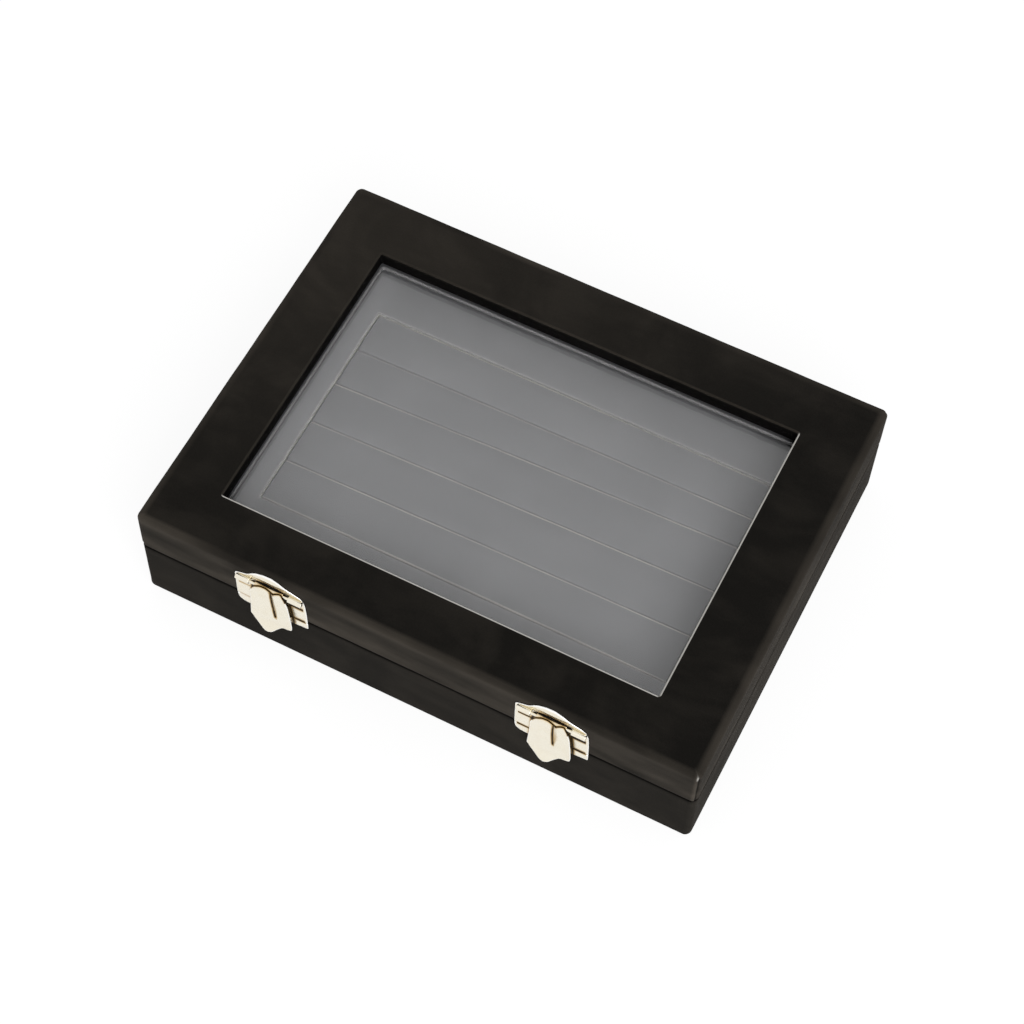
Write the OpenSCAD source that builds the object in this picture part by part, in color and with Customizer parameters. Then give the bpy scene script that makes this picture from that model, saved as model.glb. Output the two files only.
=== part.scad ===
// Cufflink display box: a velvet-covered case with a glazed lid, a padded insert and two latches.
// Millimetres. X runs left to right, -Y is the front with the latches, +Z is up.
// The origin is on the table, under the middle of the whole object.

/* [Case] */
// Outer width of the case, left to right
case_w = 200; // [170:1:260]
// Outer depth of the case, front to back
case_d = 150; // [130:1:200]
// Height of the base, from the table to its rim
base_h = 27.6; // [24:0.1:40]
// Height of the lid, from its rim to its top
lid_h = 18; // [16:0.1:26]
// Gap of the seam between the base's rim and the lid's rim
seam = 0.4; // [0.2:0.1:0.8]
// Plan radius of the case's upright corners
corner_r = 2.4; // [2.3:0.1:8]
// Rounding of the lid's top edge and of the base's bottom edge
edge_r = 1.6; // [1.2:0.1:2.2]

/* [Boards and coverings] */
// Thickness of the side boards
wall_t = 4; // [3:0.1:6]
// Thickness of the base's floor board
floor_t = 3; // [2:0.1:5]
// Thickness of the black velvet with its backing
velvet_t = 0.9; // [0.5:0.1:1.4]
// Thickness of the grey lining velvet
lining_t = 0.8; // [0.4:0.1:1.4]
// Thickness of the sheet under the base
sheet_t = 0.6; // [0.3:0.1:1.5]
// How far the underside sheet stays back from the outer faces
sheet_inset = 4; // [3:0.5:12]
// Width of the velvet hem turned in under the base
hem_w = 12; // [6:1:25]

/* [Window] */
// Width of the lid's frame at the front
frame_front = 20; // [14:0.5:32]
// Width of the lid's frame at the back
frame_back = 22; // [14:0.5:32]
// Width of the lid's frame at the left
frame_left = 20.8; // [14:0.1:40]
// Width of the lid's frame at the right
frame_right = 23.3; // [14:0.1:40]
// Depth of the glass below the lid's top
glass_recess = 5.7; // [4:0.1:7]
// Thickness of the pane
glass_t = 2; // [1.5:0.1:3]
// How far the pane reaches under the frame on every side
glass_lap = 6; // [3:0.5:8]
// Play between the pane's edge and the spacer round it
glass_play = 0.3; // [0.1:0.1:0.6]
// Thickness of the frame that holds the pane from below
retainer_t = 1.4; // [1:0.1:2.5]
// How far that frame shows inside the window
retainer_show = 0.7; // [0.3:0.1:1.5]
// Plan radius of the window's corners
window_r = 1; // [0.5:0.1:3]

/* [Insert] */
// Number of padded rolls
roll_count = 5; // [3:1:5]
// Distance from one roll to the next
roll_pitch = 16.5; // [13:0.1:17.5]
// Slit between two rolls, and between a roll and the deck
roll_gap = 0.4; // [0.3:0.1:1]
// Length of the opening that holds the rolls
well_len = 149; // [110:1:156]
// Height of the rolls' crowns above the base's rim
roll_rise = 0.4; // [0.1:0.1:2]
// Fall of a roll's top from its middle to its ends
roll_crown = 0.5; // [0:0.1:1.5]
// Rise of a roll's top across its width
roll_arch = 0.35; // [0.1:0.05:0.8]
// Rounding of a roll's long edges
roll_edge = 2.2; // [1:0.1:4]
// How far a roll's sides draw in below its top
roll_waist = 0.35; // [0:0.05:0.8]
// Thickness of the covered deck card
deck_t = 1.2; // [0.8:0.1:2.5]
// Depth of the deck's top below the base's rim
deck_drop = 0.2; // [0.1:0.1:3]
// Thickness of the insert's floor card
tray_t = 0.8; // [0.5:0.1:2]
// Play between the insert and the walls' lining
tray_play = 0.3; // [0.1:0.1:0.8]

/* [Hinges] */
// Distance between the middles of the two hinges
hinge_spread = 110; // [80:1:130]
// Width of a hinge
hinge_w = 20; // [15:0.5:28]
// Height of a leaf
leaf_h = 9; // [8:0.5:11]
// Thickness of a leaf
leaf_t = 0.8; // [0.5:0.1:1.2]
// Outer radius of the knuckles
knuckle_r = 1.5; // [1.3:0.05:2]
// Radius of a hinge pin
hinge_pin_r = 0.8; // [0.6:0.05:0.9]
// Gap between the knuckles and the velvet behind them
knuckle_gap = 0.35; // [0.3:0.05:0.8]
// Side gap between neighbouring knuckles
knuckle_side = 0.2; // [0.1:0.05:0.4]
// Distance between a leaf's two screws
screw_spread = 12; // [9:0.5:14]
// Radius of a screw's shank
screw_r = 0.7; // [0.5:0.05:1]
// Radius of a screw's head
screw_head_r = 1.4; // [1.2:0.05:2]
// Height of a screw's head
screw_head_h = 0.6; // [0.4:0.1:1]
// Length of a screw's shank behind its head
screw_len = 4; // [3:0.5:5]

/* [Latches] */
// Distance between the middles of the two latches
latch_spread = 100.4; // [70:0.1:130]
// Width of the latch plates
plate_w = 26; // [24:0.1:32]
// Thickness of the pressed sheet metal
metal_t = 0.5; // [0.4:0.05:0.7]
// Height of the upper plate's wings above the lid's rim
wing_h = 14; // [13.4:0.1:14.6]
// Height of the upper plate's arch above the lid's rim
arch_h = 17.9; // [16.6:0.1:18]
// Half width of the arch at the height of the wings
arch_half = 9; // [8.6:0.1:10]
// Height of the lower plate
catch_h = 4.2; // [3.5:0.1:6]
// Rounding of the plates' outer corners
plate_r = 2; // [0.5:0.1:3]
// Radius of the bead on the lower plate
bead_r = 0.95; // [0.6:0.05:1]
// Height of the tongue's pin above the lid's rim
pin_up = 13; // [12.6:0.1:13.2]
// Radius of the tongue's pin
latch_pin_r = 0.45; // [0.35:0.05:0.55]
// Radial clearance of the tongue on its pin
pin_play = 0.05; // [0.02:0.01:0.1]
// Gap between the tongue's curl and the velvet
curl_gap = 0.3; // [0.3:0.05:0.5]
// Width of the tongue at its top
tongue_top_w = 13.4; // [11:0.1:14]
// Drop of the tongue's arched top from its crest to its shoulders
shoulder_r = 2.6; // [1.5:0.1:3.5]
// Width of the tongue at its lower corners
tongue_low_w = 15.6; // [13:0.1:17]
// Height of the tongue's lower corners, below the base's rim
tongue_drop = 7.2; // [5:0.1:9]
// Depth of the tongue's tip below its corners
tip_drop = 4.6; // [2:0.1:6]
// Sideways place of the tongue's tip
tip_x = -1.4; // [-2:0.1:2]
// How far the finger lip curls out
lip_out = 1.6; // [0.5:0.1:2.5]
// Half width of the tongue's lower point
tip_half = 6.75; // [5:0.05:7]
// Height of the tongue's arched top above its curl
top_lip = 0.1; // [0.05:0.05:0.15]
// Width of the pressed groove at the tongue's top
groove_w = 3.4; // [2:0.1:5]
// Sideways place of the pressed groove
groove_x = 0.9; // [-1:0.1:1.5]
// Length of the pressed groove
groove_len = 15; // [8:0.5:18]
// Depth of the pressed groove
groove_t = 0.2; // [0.1:0.05:0.3]
// Gap between the tongue and the plate's slot
slot_play = 0.4; // [0.3:0.05:0.8]
// Height of the slot's shoulders above the pin
slot_side = 1.2; // [1.1:0.1:1.6]
// Width of the plate's band over the slot
band_h = 2.7; // [2:0.1:2.9]
// Height of the upper plate's claws above the lid's rim
claw_up = 4; // [2:0.1:8]
// Width of a claw
claw_w = 1.4; // [0.8:0.1:2]
// Length of the claws pressed into the boards
claw_len = 3; // [1.5:0.1:3.8]
// How far the middle of a claw stays inside the plate's end
claw_inset = 2.6; // [2:0.1:4]
// How far the pin's bead stays inside the plate's end
bead_inset = 1; // [0.5:0.1:2]

/* [Hidden] */
$fn = 64;
CUT = 1;                                       // how far a cutting shape runs past what it cuts
FIT = 0.02;                                    // play of a screw, pin or claw in its own hole

// Heights
rim_z = base_h;
lid_z = rim_z + seam;
top_z = lid_z + lid_h;
seam_z = rim_z + seam / 2;
hem_top = sheet_t + velvet_t;
floor_top = hem_top + floor_t;
wall_top = rim_z - velvet_t;
board_z = top_z - glass_recess + velvet_t;     // underside of the lid's top board
board_top = top_z - velvet_t;
glass_top = top_z - glass_recess;
glass_low = glass_top - glass_t;
retainer_low = glass_low - retainer_t;
rail_low = lid_z + velvet_t;

// Plan sizes
inner_w = case_w - 2 * (velvet_t + wall_t);
inner_d = case_d - 2 * (velvet_t + wall_t);
lined_w = inner_w - 2 * lining_t;
lined_d = inner_d - 2 * lining_t;
window_w = case_w - frame_left - frame_right;
window_d = case_d - frame_front - frame_back;
window_x = (frame_left - frame_right) / 2;
window_y = (frame_front - frame_back) / 2;
pane_w = window_w + 2 * glass_lap;
pane_d = window_d + 2 * glass_lap;
board_w = case_w - 2 * velvet_t;
board_d = case_d - 2 * velvet_t;
board_r = corner_r - velvet_t;
LEAST_R = 0.3;                                 // least rounding of the boards' edges
board_edge_r = max(edge_r - velvet_t, LEAST_R);

// Insert
tray_z = floor_top;
deck_top = rim_z - deck_drop;
deck_low = deck_top - deck_t;
tray_w = lined_w - 2 * tray_play;
tray_d = lined_d - 2 * tray_play;
well_d = roll_count * roll_pitch + roll_gap;
roll_len = well_len - 2 * roll_gap;
roll_low = tray_z + tray_t;
roll_top = rim_z + roll_rise;
lining_drop = velvet_t / 2;                    // the grey lining ends this far inside the rims
ROLL_END = 0.8;                                // share of its rounding that a roll's end turns in
ROLL_RUN = 12;                                 // rings along a roll's straight part
ROLL_ARC = 4;                                  // steps round an edge
ROLL_SIDE = 4;                                 // steps up a side
ROLL_TOP = 4;                                  // steps across the top
// The soft rolls have shifted: how far back of its even place each slit lies, from the front one
SLIT_LEFT = [0, 0.2, 0.9, 1.3, 0.3];           // at the rolls' left ends
SLIT_RIGHT = [0, 2.6, 4.5, 6.4, 2];            // at their right ends

// Hinges
hinge_y = case_d / 2 + knuckle_gap + knuckle_r;
hinge_reach = knuckle_gap + 2 * knuckle_r;
knuckle_n = 5;                                 // knuckles of a hinge, both leaves together
knuckle_len = hinge_w / knuckle_n;
leaf_play = 0.3;                               // gap between a leaf and the other leaf's knuckles
leaf_keep = knuckle_r + leaf_play;             // a leaf's plain part starts this far from the hinge line
screw_z = leaf_keep + (leaf_h - leaf_keep) / 2;
screw_slot = 0.35;                             // width of the slot in a screw's head
hinge_play = 0.06;                             // radial play of the lid's knuckles on the pin

// Latches
ARC_FN = 180;                                  // sides of the full circle behind a low arc
CURL_SHARE = 0.6;                              // share of shoulder_r cut from each end of the curl
ARCH_STEP = 15;                                // degrees between points of the tongue's arched top
ARCH_POWER = 0.7;                              // below 1, fills out the arched top
TIP_STEP = 0.125;                              // share of tip_half between points of the lower point
TIP_POWER = 1.3;                               // above 1, rounds the lower point
curl_r = latch_pin_r + pin_play + metal_t;
pin_out = curl_gap + curl_r;
pin_z = lid_z + pin_up;
tongue_out = pin_out + curl_r;                 // stand-off of the tongue's outer face
tongue_in = tongue_out - metal_t + FIT;
corner_z = rim_z - tongue_drop;
tip_z = corner_z - tip_drop;
groove_low = pin_z - groove_len;
latch_reach = tongue_out + lip_out;
bead_z = rim_z - catch_h / 2;
claw_x = plate_w / 2 - claw_inset;
bead_end = plate_w / 2 - bead_inset;
bead_half = tongue_top_w / 2;
slot_half = tongue_top_w / 2 + slot_play;
curl_half = tongue_top_w / 2 - shoulder_r * CURL_SHARE;
slot_top_z = lid_z + arch_h - band_h;
tongue_top_z = pin_z + curl_r + top_lip;
plate_claw_z = lid_z + claw_up;
catch_claw_z = rim_z - catch_h / 2;

// The case sits this far back, so that the origin is under the middle of the whole object
case_y = (latch_reach - hinge_reach) / 2;

BLACK = [0.11, 0.105, 0.1];
GREY = [0.5, 0.5, 0.49];
BOARD = [0.62, 0.5, 0.36];
FOAM = [0.75, 0.75, 0.72];
CARD = [0.45, 0.44, 0.42];
BRASS = [0.9, 0.87, 0.78];
PANE = [0.8, 0.88, 0.86, 0.35];

// ---- shared shapes ----

// Puts a piece in the object's frame
module placed() { translate([0, case_y, 0]) children(); }

// A rectangle with round corners
module round_rect(w, d, r) {
  square([w - 2 * r, d], center = true);
  square([w, d - 2 * r], center = true);
  for (x = [-1, 1], y = [-1, 1]) translate([x * (w / 2 - r), y * (d / 2 - r)]) circle(r);
}

// A slab with upright round corners, from z0 to z1
module slab(w, d, r, z0, z1) { translate([0, 0, z0]) linear_extrude(z1 - z0) round_rect(w, d, r); }

// A plain block between two corners
module block(a, b) { translate(a) cube(b - a); }

// The section of a block's border: r wide, from z0 to z1, its outer top and bottom edges rounded
module border_section(r, z0, z1, top_r, low_r) {
  difference() {
    translate([0, z0]) square([r, z1 - z0]);
    if (top_r > 0) difference() {
      translate([r - top_r, z1 - top_r]) square([top_r + CUT, top_r + CUT]);
      translate([r - top_r, z1 - top_r]) circle(top_r);
    }
    if (low_r > 0) difference() {
      translate([r - low_r, z0 - CUT]) square([low_r + CUT, low_r + CUT]);
      translate([r - low_r, z0 + low_r]) circle(low_r);
    }
  }
}

// A block with round upright corners and rounded top or bottom edges
module soft_block(w, d, r, z0, z1, top_r, low_r) {
  block([-w / 2 + r, -d / 2 + r, z0], [w / 2 - r, d / 2 - r, z1]);
  for (k = [0:3]) {
    across = k % 2 == 0 ? w : d;
    along = k % 2 == 0 ? d : w;
    rotate([0, 0, 90 * k]) translate([across / 2 - r, along / 2 - r, 0]) {
      rotate([90, 0, 0]) linear_extrude(along - 2 * r) border_section(r, z0, z1, top_r, low_r);
      rotate_extrude(angle = 90) border_section(r, z0, z1, top_r, low_r);
    }
  }
}

// Turns an outline drawn in X and Z into a plate on the front face, thick outwards
module on_front() { translate([0, -case_d / 2, 0]) rotate([90, 0, 0]) children(); }

// Turns a section drawn in stand-off and Z into a bar across the front, w wide
module across_front(w) {
  translate([-w / 2, -case_d / 2, 0]) rotate([90, 0, 90]) linear_extrude(w) mirror([1, 0]) children();
}

// One of the four side boards of the base or the lid, between two heights
module side_board(side, z0, z1) {
  intersection() {
    slab(board_w, board_d, board_r, z0, z1);
    if (side == "front") block([-case_w / 2, -case_d / 2, z0], [case_w / 2, -inner_d / 2, z1]);
    if (side == "back") block([-case_w / 2, inner_d / 2, z0], [case_w / 2, case_d / 2, z1]);
    if (side == "left") block([-case_w / 2, -inner_d / 2, z0], [-inner_w / 2, inner_d / 2, z1]);
    if (side == "right") block([inner_w / 2, -inner_d / 2, z0], [case_w / 2, inner_d / 2, z1]);
  }
}

// The window's outline, grown by m on every side, between two heights
module window_block(m, z0, z1) {
  translate([window_x, window_y, 0]) slab(window_w + 2 * m, window_d + 2 * m, window_r, z0, z1);
}

// ---- base ----

module base_floor() {
  color(BOARD) placed() {
    soft_block(board_w, board_d, board_r, hem_top, floor_top, 0, board_edge_r);
    slab(case_w - 2 * hem_w, case_d - 2 * hem_w, corner_r, sheet_t, hem_top);
  }
}

module base_front_wall() {
  color(BOARD) placed() difference() {
    side_board("front", floor_top, wall_top);
    both_latches() claws(catch_claw_z, FIT);
  }
}

module base_back_wall() {
  color(BOARD) placed() difference() {
    side_board("back", floor_top, wall_top);
    both_hinges() screw_holes(-1);
  }
}

module base_left_wall() { color(BOARD) placed() side_board("left", floor_top, wall_top); }
module base_right_wall() { color(BOARD) placed() side_board("right", floor_top, wall_top); }

module base_velvet() {
  color(BLACK) placed() difference() {
    soft_block(case_w, case_d, corner_r, sheet_t, rim_z, velvet_t, edge_r);
    soft_block(board_w, board_d, board_r, hem_top, wall_top, 0, board_edge_r);
    block([-inner_w / 2, -inner_d / 2, wall_top - CUT], [inner_w / 2, inner_d / 2, rim_z + CUT]);
    slab(case_w - 2 * hem_w, case_d - 2 * hem_w, corner_r, sheet_t - CUT, hem_top + CUT);
    both_latches() claws(catch_claw_z, FIT);
    both_hinges() screw_holes(-1);
  }
}

module underside_sheet() {
  color(BLACK) placed() slab(case_w - 2 * sheet_inset, case_d - 2 * sheet_inset, corner_r, 0, sheet_t);
}

module base_lining() {
  color(GREY) placed() difference() {
    block([-inner_w / 2, -inner_d / 2, floor_top], [inner_w / 2, inner_d / 2, rim_z - lining_drop]);
    block([-lined_w / 2, -lined_d / 2, floor_top - CUT], [lined_w / 2, lined_d / 2, rim_z + CUT]);
  }
}

// ---- insert ----

module tray_floor() {
  color(CARD) placed() block([-tray_w / 2, -tray_d / 2, tray_z], [tray_w / 2, tray_d / 2, roll_low]);
}

module tray_deck() {
  color(GREY) placed() difference() {
    block([-tray_w / 2, -tray_d / 2, deck_low], [tray_w / 2, tray_d / 2, deck_top]);
    block([-well_len / 2, -well_d / 2, deck_low - CUT], [well_len / 2, well_d / 2, deck_top + CUT]);
  }
}

module deck_foam_front() {
  color(FOAM) placed() block([-tray_w / 2, -tray_d / 2, roll_low], [tray_w / 2, -well_d / 2, deck_low]);
}

module deck_foam_back() {
  color(FOAM) placed() block([-tray_w / 2, well_d / 2, roll_low], [tray_w / 2, tray_d / 2, deck_low]);
}

module deck_foam_left() {
  color(FOAM) placed() block([-tray_w / 2, -well_d / 2, roll_low], [-well_len / 2, well_d / 2, deck_low]);
}

module deck_foam_right() {
  color(FOAM) placed() block([well_len / 2, -well_d / 2, roll_low], [tray_w / 2, well_d / 2, deck_low]);
}

// Stations along a roll: its ends turn in over the last roll_edge
function roll_stations() = concat(
  [for (k = [0:ROLL_ARC - 1]) -roll_len / 2 + roll_edge * (1 - cos(90 * k / ROLL_ARC))],
  [for (k = [0:ROLL_RUN]) (roll_len / 2 - roll_edge) * (2 * k / ROLL_RUN - 1)],
  [for (k = [ROLL_ARC - 1:-1:0]) roll_len / 2 - roll_edge * (1 - cos(90 * k / ROLL_ARC))]
);

// How much a roll's section has shrunk at station x
function roll_shrink(x) =
  let (past = max(abs(x) - (roll_len / 2 - roll_edge), 0))
  roll_edge - sqrt(max(pow(roll_edge, 2) - pow(past, 2), 0));

// How far back of its even place slit k lies, at station x; the front and back ones stay even
function slit_shift(k, x) =
  let (u = x / roll_len + 0.5)
  k == 0 || k >= roll_count ? 0 : SLIT_LEFT[k] * (1 - u) + SLIT_RIGHT[k] * u;

// Section of roll i at station x, counter-clockwise as seen from +X, in Y and Z
function roll_section(i, x) =
  let (
    shrink = min(roll_shrink(x), roll_edge * ROLL_END),
    front = -well_d / 2 + roll_gap + (i - 1) * roll_pitch + slit_shift(i - 1, x),
    back = -well_d / 2 + i * roll_pitch + slit_shift(i, x),
    mid = (front + back) / 2,
    half = (back - front) / 2 - shrink,
    top = roll_top - shrink - roll_crown * pow(2 * x / roll_len, 2),
    knee = top - roll_arch - roll_edge,
    foot = roll_low
  ) concat(
    [for (k = [0:ROLL_SIDE - 1]) let (u = k / ROLL_SIDE)
      [mid + half - roll_waist * sin(180 * u), foot + (knee - foot) * u]],
    [for (k = [0:ROLL_ARC]) let (a = 90 * k / ROLL_ARC)
      [mid + half - roll_edge * (1 - cos(a)), knee + roll_edge * sin(a)]],
    [for (k = [1:ROLL_TOP - 1]) let (u = 1 - 2 * k / ROLL_TOP)
      [mid + (half - roll_edge) * u, top - roll_arch * u * u]],
    [for (k = [ROLL_ARC:-1:0]) let (a = 90 * k / ROLL_ARC)
      [mid - half + roll_edge * (1 - cos(a)), knee + roll_edge * sin(a)]],
    [for (k = [ROLL_SIDE - 1:-1:0]) let (u = k / ROLL_SIDE)
      [mid - half + roll_waist * sin(180 * u), foot + (knee - foot) * u]]
  );

// A padded roll, number i from the front: crowned, with drawn-in sides and turned-in ends
module cushion_roll(i) {
  xs = roll_stations();
  n = len(roll_section(i, 0));
  m = len(xs);
  rings = [for (x = xs) for (p = roll_section(i, x)) [x, p[0], p[1]]];
  ends = [for (x = [xs[0], xs[m - 1]])
    let (ring = roll_section(i, x))
    [x, (ring[0][0] + ring[n - 1][0]) / 2, (roll_low + roll_top) / 2]];
  sides = [for (k = [0:m - 2], j = [0:n - 1])
    let (a = k * n + j, b = k * n + (j + 1) % n)
    each [[a, b, a + n], [b, b + n, a + n]]];
  caps = [for (j = [0:n - 1])
    let (a = (m - 1) * n)
    each [[(j + 1) % n, j, m * n], [a + j, a + (j + 1) % n, m * n + 1]]];
  faces = [for (f = concat(sides, caps)) [f[0], f[2], f[1]]];
  color(GREY) placed() polyhedron(points = concat(rings, ends), faces = faces);
}

// ---- lid ----

module lid_top_board() {
  color(BOARD) placed() difference() {
    soft_block(board_w, board_d, board_r, board_z, board_top, board_edge_r, 0);
    window_block(velvet_t, board_z - CUT, board_top + CUT);
    both_latches() claws(plate_claw_z, FIT);
  }
}

module lid_front_rail() {
  color(BOARD) placed() difference() {
    side_board("front", rail_low, board_z);
    both_latches() claws(plate_claw_z, FIT);
  }
}

module lid_back_rail() {
  color(BOARD) placed() difference() {
    side_board("back", rail_low, board_z);
    both_hinges() screw_holes(1);
  }
}

module lid_left_rail() { color(BOARD) placed() side_board("left", rail_low, board_z); }
module lid_right_rail() { color(BOARD) placed() side_board("right", rail_low, board_z); }

module lid_velvet() {
  color(BLACK) placed() {
    difference() {
      soft_block(case_w, case_d, corner_r, lid_z, top_z, edge_r, velvet_t);
      soft_block(board_w, board_d, board_r, rail_low, board_top, board_edge_r, 0);
      block([-inner_w / 2, -inner_d / 2, lid_z - CUT], [inner_w / 2, inner_d / 2, rail_low + CUT]);
      window_block(0, board_top - CUT, top_z + CUT);
      both_latches() claws(plate_claw_z, FIT);
      both_hinges() screw_holes(1);
    }
    // through the window and under the board
    difference() {
      union() {
        window_block(velvet_t, glass_top, board_top);
        window_block(glass_lap, glass_top, board_z);
      }
      window_block(0, glass_top - CUT, board_top + CUT);
    }
  }
}

module lid_lining() {
  color(GREY) placed() difference() {
    block([-inner_w / 2, -inner_d / 2, lid_z + lining_drop], [inner_w / 2, inner_d / 2, retainer_low]);
    block([-lined_w / 2, -lined_d / 2, lid_z - CUT], [lined_w / 2, lined_d / 2, retainer_low + CUT]);
  }
}

module glass_pane() {
  color(PANE) placed() translate([window_x, window_y, 0])
    block([-pane_w / 2, -pane_d / 2, glass_low], [pane_w / 2, pane_d / 2, glass_top]);
}

module glass_spacer() {
  color(CARD) placed() difference() {
    block([-inner_w / 2, -inner_d / 2, glass_low], [inner_w / 2, inner_d / 2, board_z]);
    window_block(glass_lap + glass_play, glass_low - CUT, board_z + CUT);
  }
}

module glass_retainer() {
  color(GREY) placed() difference() {
    block([-inner_w / 2, -inner_d / 2, retainer_low], [inner_w / 2, inner_d / 2, glass_low]);
    window_block(-retainer_show, retainer_low - CUT, glass_low + CUT);
  }
}

// ---- hinges ----

module both_hinges() { for (side = [-1, 1]) translate([side * hinge_spread / 2, 0, 0]) children(); }

// A bar along X at the hinge line, between two places along the hinge
module hinge_bar(r, x0, x1) {
  translate([x0, hinge_y, seam_z]) rotate([0, 90, 0]) cylinder(r = r, h = x1 - x0);
}

// One leaf with its knuckles: way is 1 for the lid's leaf and -1 for the base's
module hinge_leaf(way) {
  bore_r = way > 0 ? hinge_pin_r + hinge_play : hinge_pin_r + FIT;
  mine = way > 0 ? [1:2:knuckle_n - 1] : [0:2:knuckle_n - 1];
  difference() {
    union() {
      leaf_plate(way, -hinge_w / 2, hinge_w / 2, 0, leaf_keep, leaf_h);
      for (k = mine) {
        x0 = -hinge_w / 2 + k * knuckle_len + knuckle_side / 2;
        x1 = x0 + knuckle_len - knuckle_side;
        hinge_bar(knuckle_r, x0, x1);
        leaf_plate(way, x0, x1, knuckle_gap, 0, leaf_keep + leaf_t);
      }
    }
    hinge_bar(bore_r, -hinge_w / 2 - CUT, hinge_w / 2 + CUT);
    screw_holes(way);
  }
}

// A flat stretch of leaf, out from the back face, between two distances from the hinge line
module leaf_plate(way, x0, x1, out, from, to) {
  low = seam_z + min(way * from, way * to);
  block([x0, case_d / 2 + out, low], [x1, case_d / 2 + out + leaf_t, low + to - from]);
}

// The places of a leaf's two screws, pointing out of the back face
module at_screws(way) {
  for (side = [-1, 1])
    translate([side * screw_spread / 2, case_d / 2 + leaf_t, seam_z + way * screw_z])
      rotate([-90, 0, 0]) children();
}

module screw_holes(way) {
  at_screws(way) translate([0, 0, -screw_len - FIT]) cylinder(r = screw_r + FIT, h = screw_len + CUT);
}

module screws(way) {
  both_hinges() at_screws(way) difference() {
    union() {
      translate([0, 0, -screw_len]) cylinder(r = screw_r, h = screw_len);
      cylinder(r = screw_head_r, h = screw_head_h);
    }
    block([-screw_head_r - CUT, -screw_slot / 2, screw_head_h / 2],
          [screw_head_r + CUT, screw_slot / 2, screw_head_h + CUT]);
  }
}

module at_hinge(side) { placed() translate([side * hinge_spread / 2, 0, 0]) children(); }
module hinge_pin() { hinge_bar(hinge_pin_r, -hinge_w / 2, hinge_w / 2); }

module hinge_left_base_leaf() { color(BRASS) at_hinge(-1) hinge_leaf(-1); }
module hinge_left_lid_leaf() { color(BRASS) at_hinge(-1) hinge_leaf(1); }
module hinge_left_pin() { color(BRASS) at_hinge(-1) hinge_pin(); }
module hinge_right_base_leaf() { color(BRASS) at_hinge(1) hinge_leaf(-1); }
module hinge_right_lid_leaf() { color(BRASS) at_hinge(1) hinge_leaf(1); }
module hinge_right_pin() { color(BRASS) at_hinge(1) hinge_pin(); }
module base_hinge_screws() { color(BRASS) placed() screws(-1); }
module lid_hinge_screws() { color(BRASS) placed() screws(1); }

// ---- latches ----

module both_latches() { for (side = [-1, 1]) translate([side * latch_spread / 2, 0, 0]) children(); }
module at_latch(side) { placed() translate([side * latch_spread / 2, 0, 0]) children(); }

// The pair of claws that hold a plate, pressed back into the board at height z
module claws(z, play) {
  for (side = [-1, 1]) translate([side * claw_x, -case_d / 2, z])
    block([-claw_w / 2 - play, -play, -metal_t / 2 - play],
          [claw_w / 2 + play, claw_len + play, metal_t / 2 + play]);
}

// A bar along X on the front, at a stand-off and a height
module front_bar(r, out, z, x0, x1) {
  translate([x0, -case_d / 2 - out, z]) rotate([0, 90, 0]) cylinder(r = r, h = x1 - x0);
}

// An outline with straight sides and a low arc on top
module arched(half, low, shoulder, crest) {
  rise = crest - shoulder;
  r = (half * half + rise * rise) / (2 * rise);
  translate([-half, low]) square([2 * half, shoulder - low]);
  intersection() {
    translate([0, crest - r]) circle(r, $fn = ARC_FN);
    translate([-half, shoulder - FIT]) square([2 * half, rise + 2 * FIT]);
  }
}

// The upper plate's sheet, seen from its end: flat on the front, then back over the lid's rounded edge
module plate_section() {
  bend_z = top_z - edge_r;
  translate([0, lid_z]) square([metal_t, bend_z - lid_z]);
  translate([-edge_r, bend_z]) intersection() {
    difference() {
      circle(edge_r + metal_t);
      circle(edge_r + FIT);
    }
    square(edge_r + metal_t);
  }
}

module latch_plate() {
  difference() {
    union() {
      intersection() {
        across_front(plate_w) plate_section();
        translate([0, CUT + edge_r, 0]) on_front() linear_extrude(2 * (CUT + edge_r)) difference() {
          union() {
            plate_outline(lid_z, lid_z + wing_h);
            arched(arch_half, lid_z + plate_r, lid_z + wing_h - FIT, lid_z + arch_h);
          }
          arched(slot_half, pin_z - curl_r - slot_play, pin_z + slot_side, slot_top_z);
        }
      }
      for (side = [-1, 1]) {
        x0 = side > 0 ? slot_half : -bead_end;
        x1 = side > 0 ? bead_end : -slot_half;
        intersection() {
          front_bar(curl_r, pin_out, pin_z, x0, x1);
          block([x0, -case_d / 2 - 2 * pin_out - curl_r, 0], [x1, -case_d / 2, top_z]);
        }
        block([x0, -case_d / 2 - pin_out, pin_z - curl_r], [x1, -case_d / 2 - metal_t / 2, pin_z + curl_r]);
      }
      claws(plate_claw_z, 0);
    }
    front_bar(latch_pin_r + FIT, pin_out, pin_z, -bead_end - CUT, bead_end + CUT);
  }
}

// A plate's plain outline: square along the seam, rounded at its outer corners
module plate_outline(low, high) {
  square_low = low == lid_z;
  translate([0, (low + high) / 2]) round_rect(plate_w, high - low, plate_r);
  translate([-plate_w / 2, square_low ? low : high - plate_r]) square([plate_w, plate_r]);
}

module latch_pin() { front_bar(latch_pin_r, pin_out, pin_z, -bead_end, bead_end); }

module latch_catch() {
  on_front() linear_extrude(metal_t) plate_outline(rim_z - catch_h, rim_z);
  intersection() {
    front_bar(bead_r, metal_t, bead_z, -bead_half, bead_half);
    block([-plate_w, -case_d, 0], [plate_w, -case_d / 2 - metal_t / 2, top_z]);
  }
  claws(catch_claw_z, 0);
}

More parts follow.
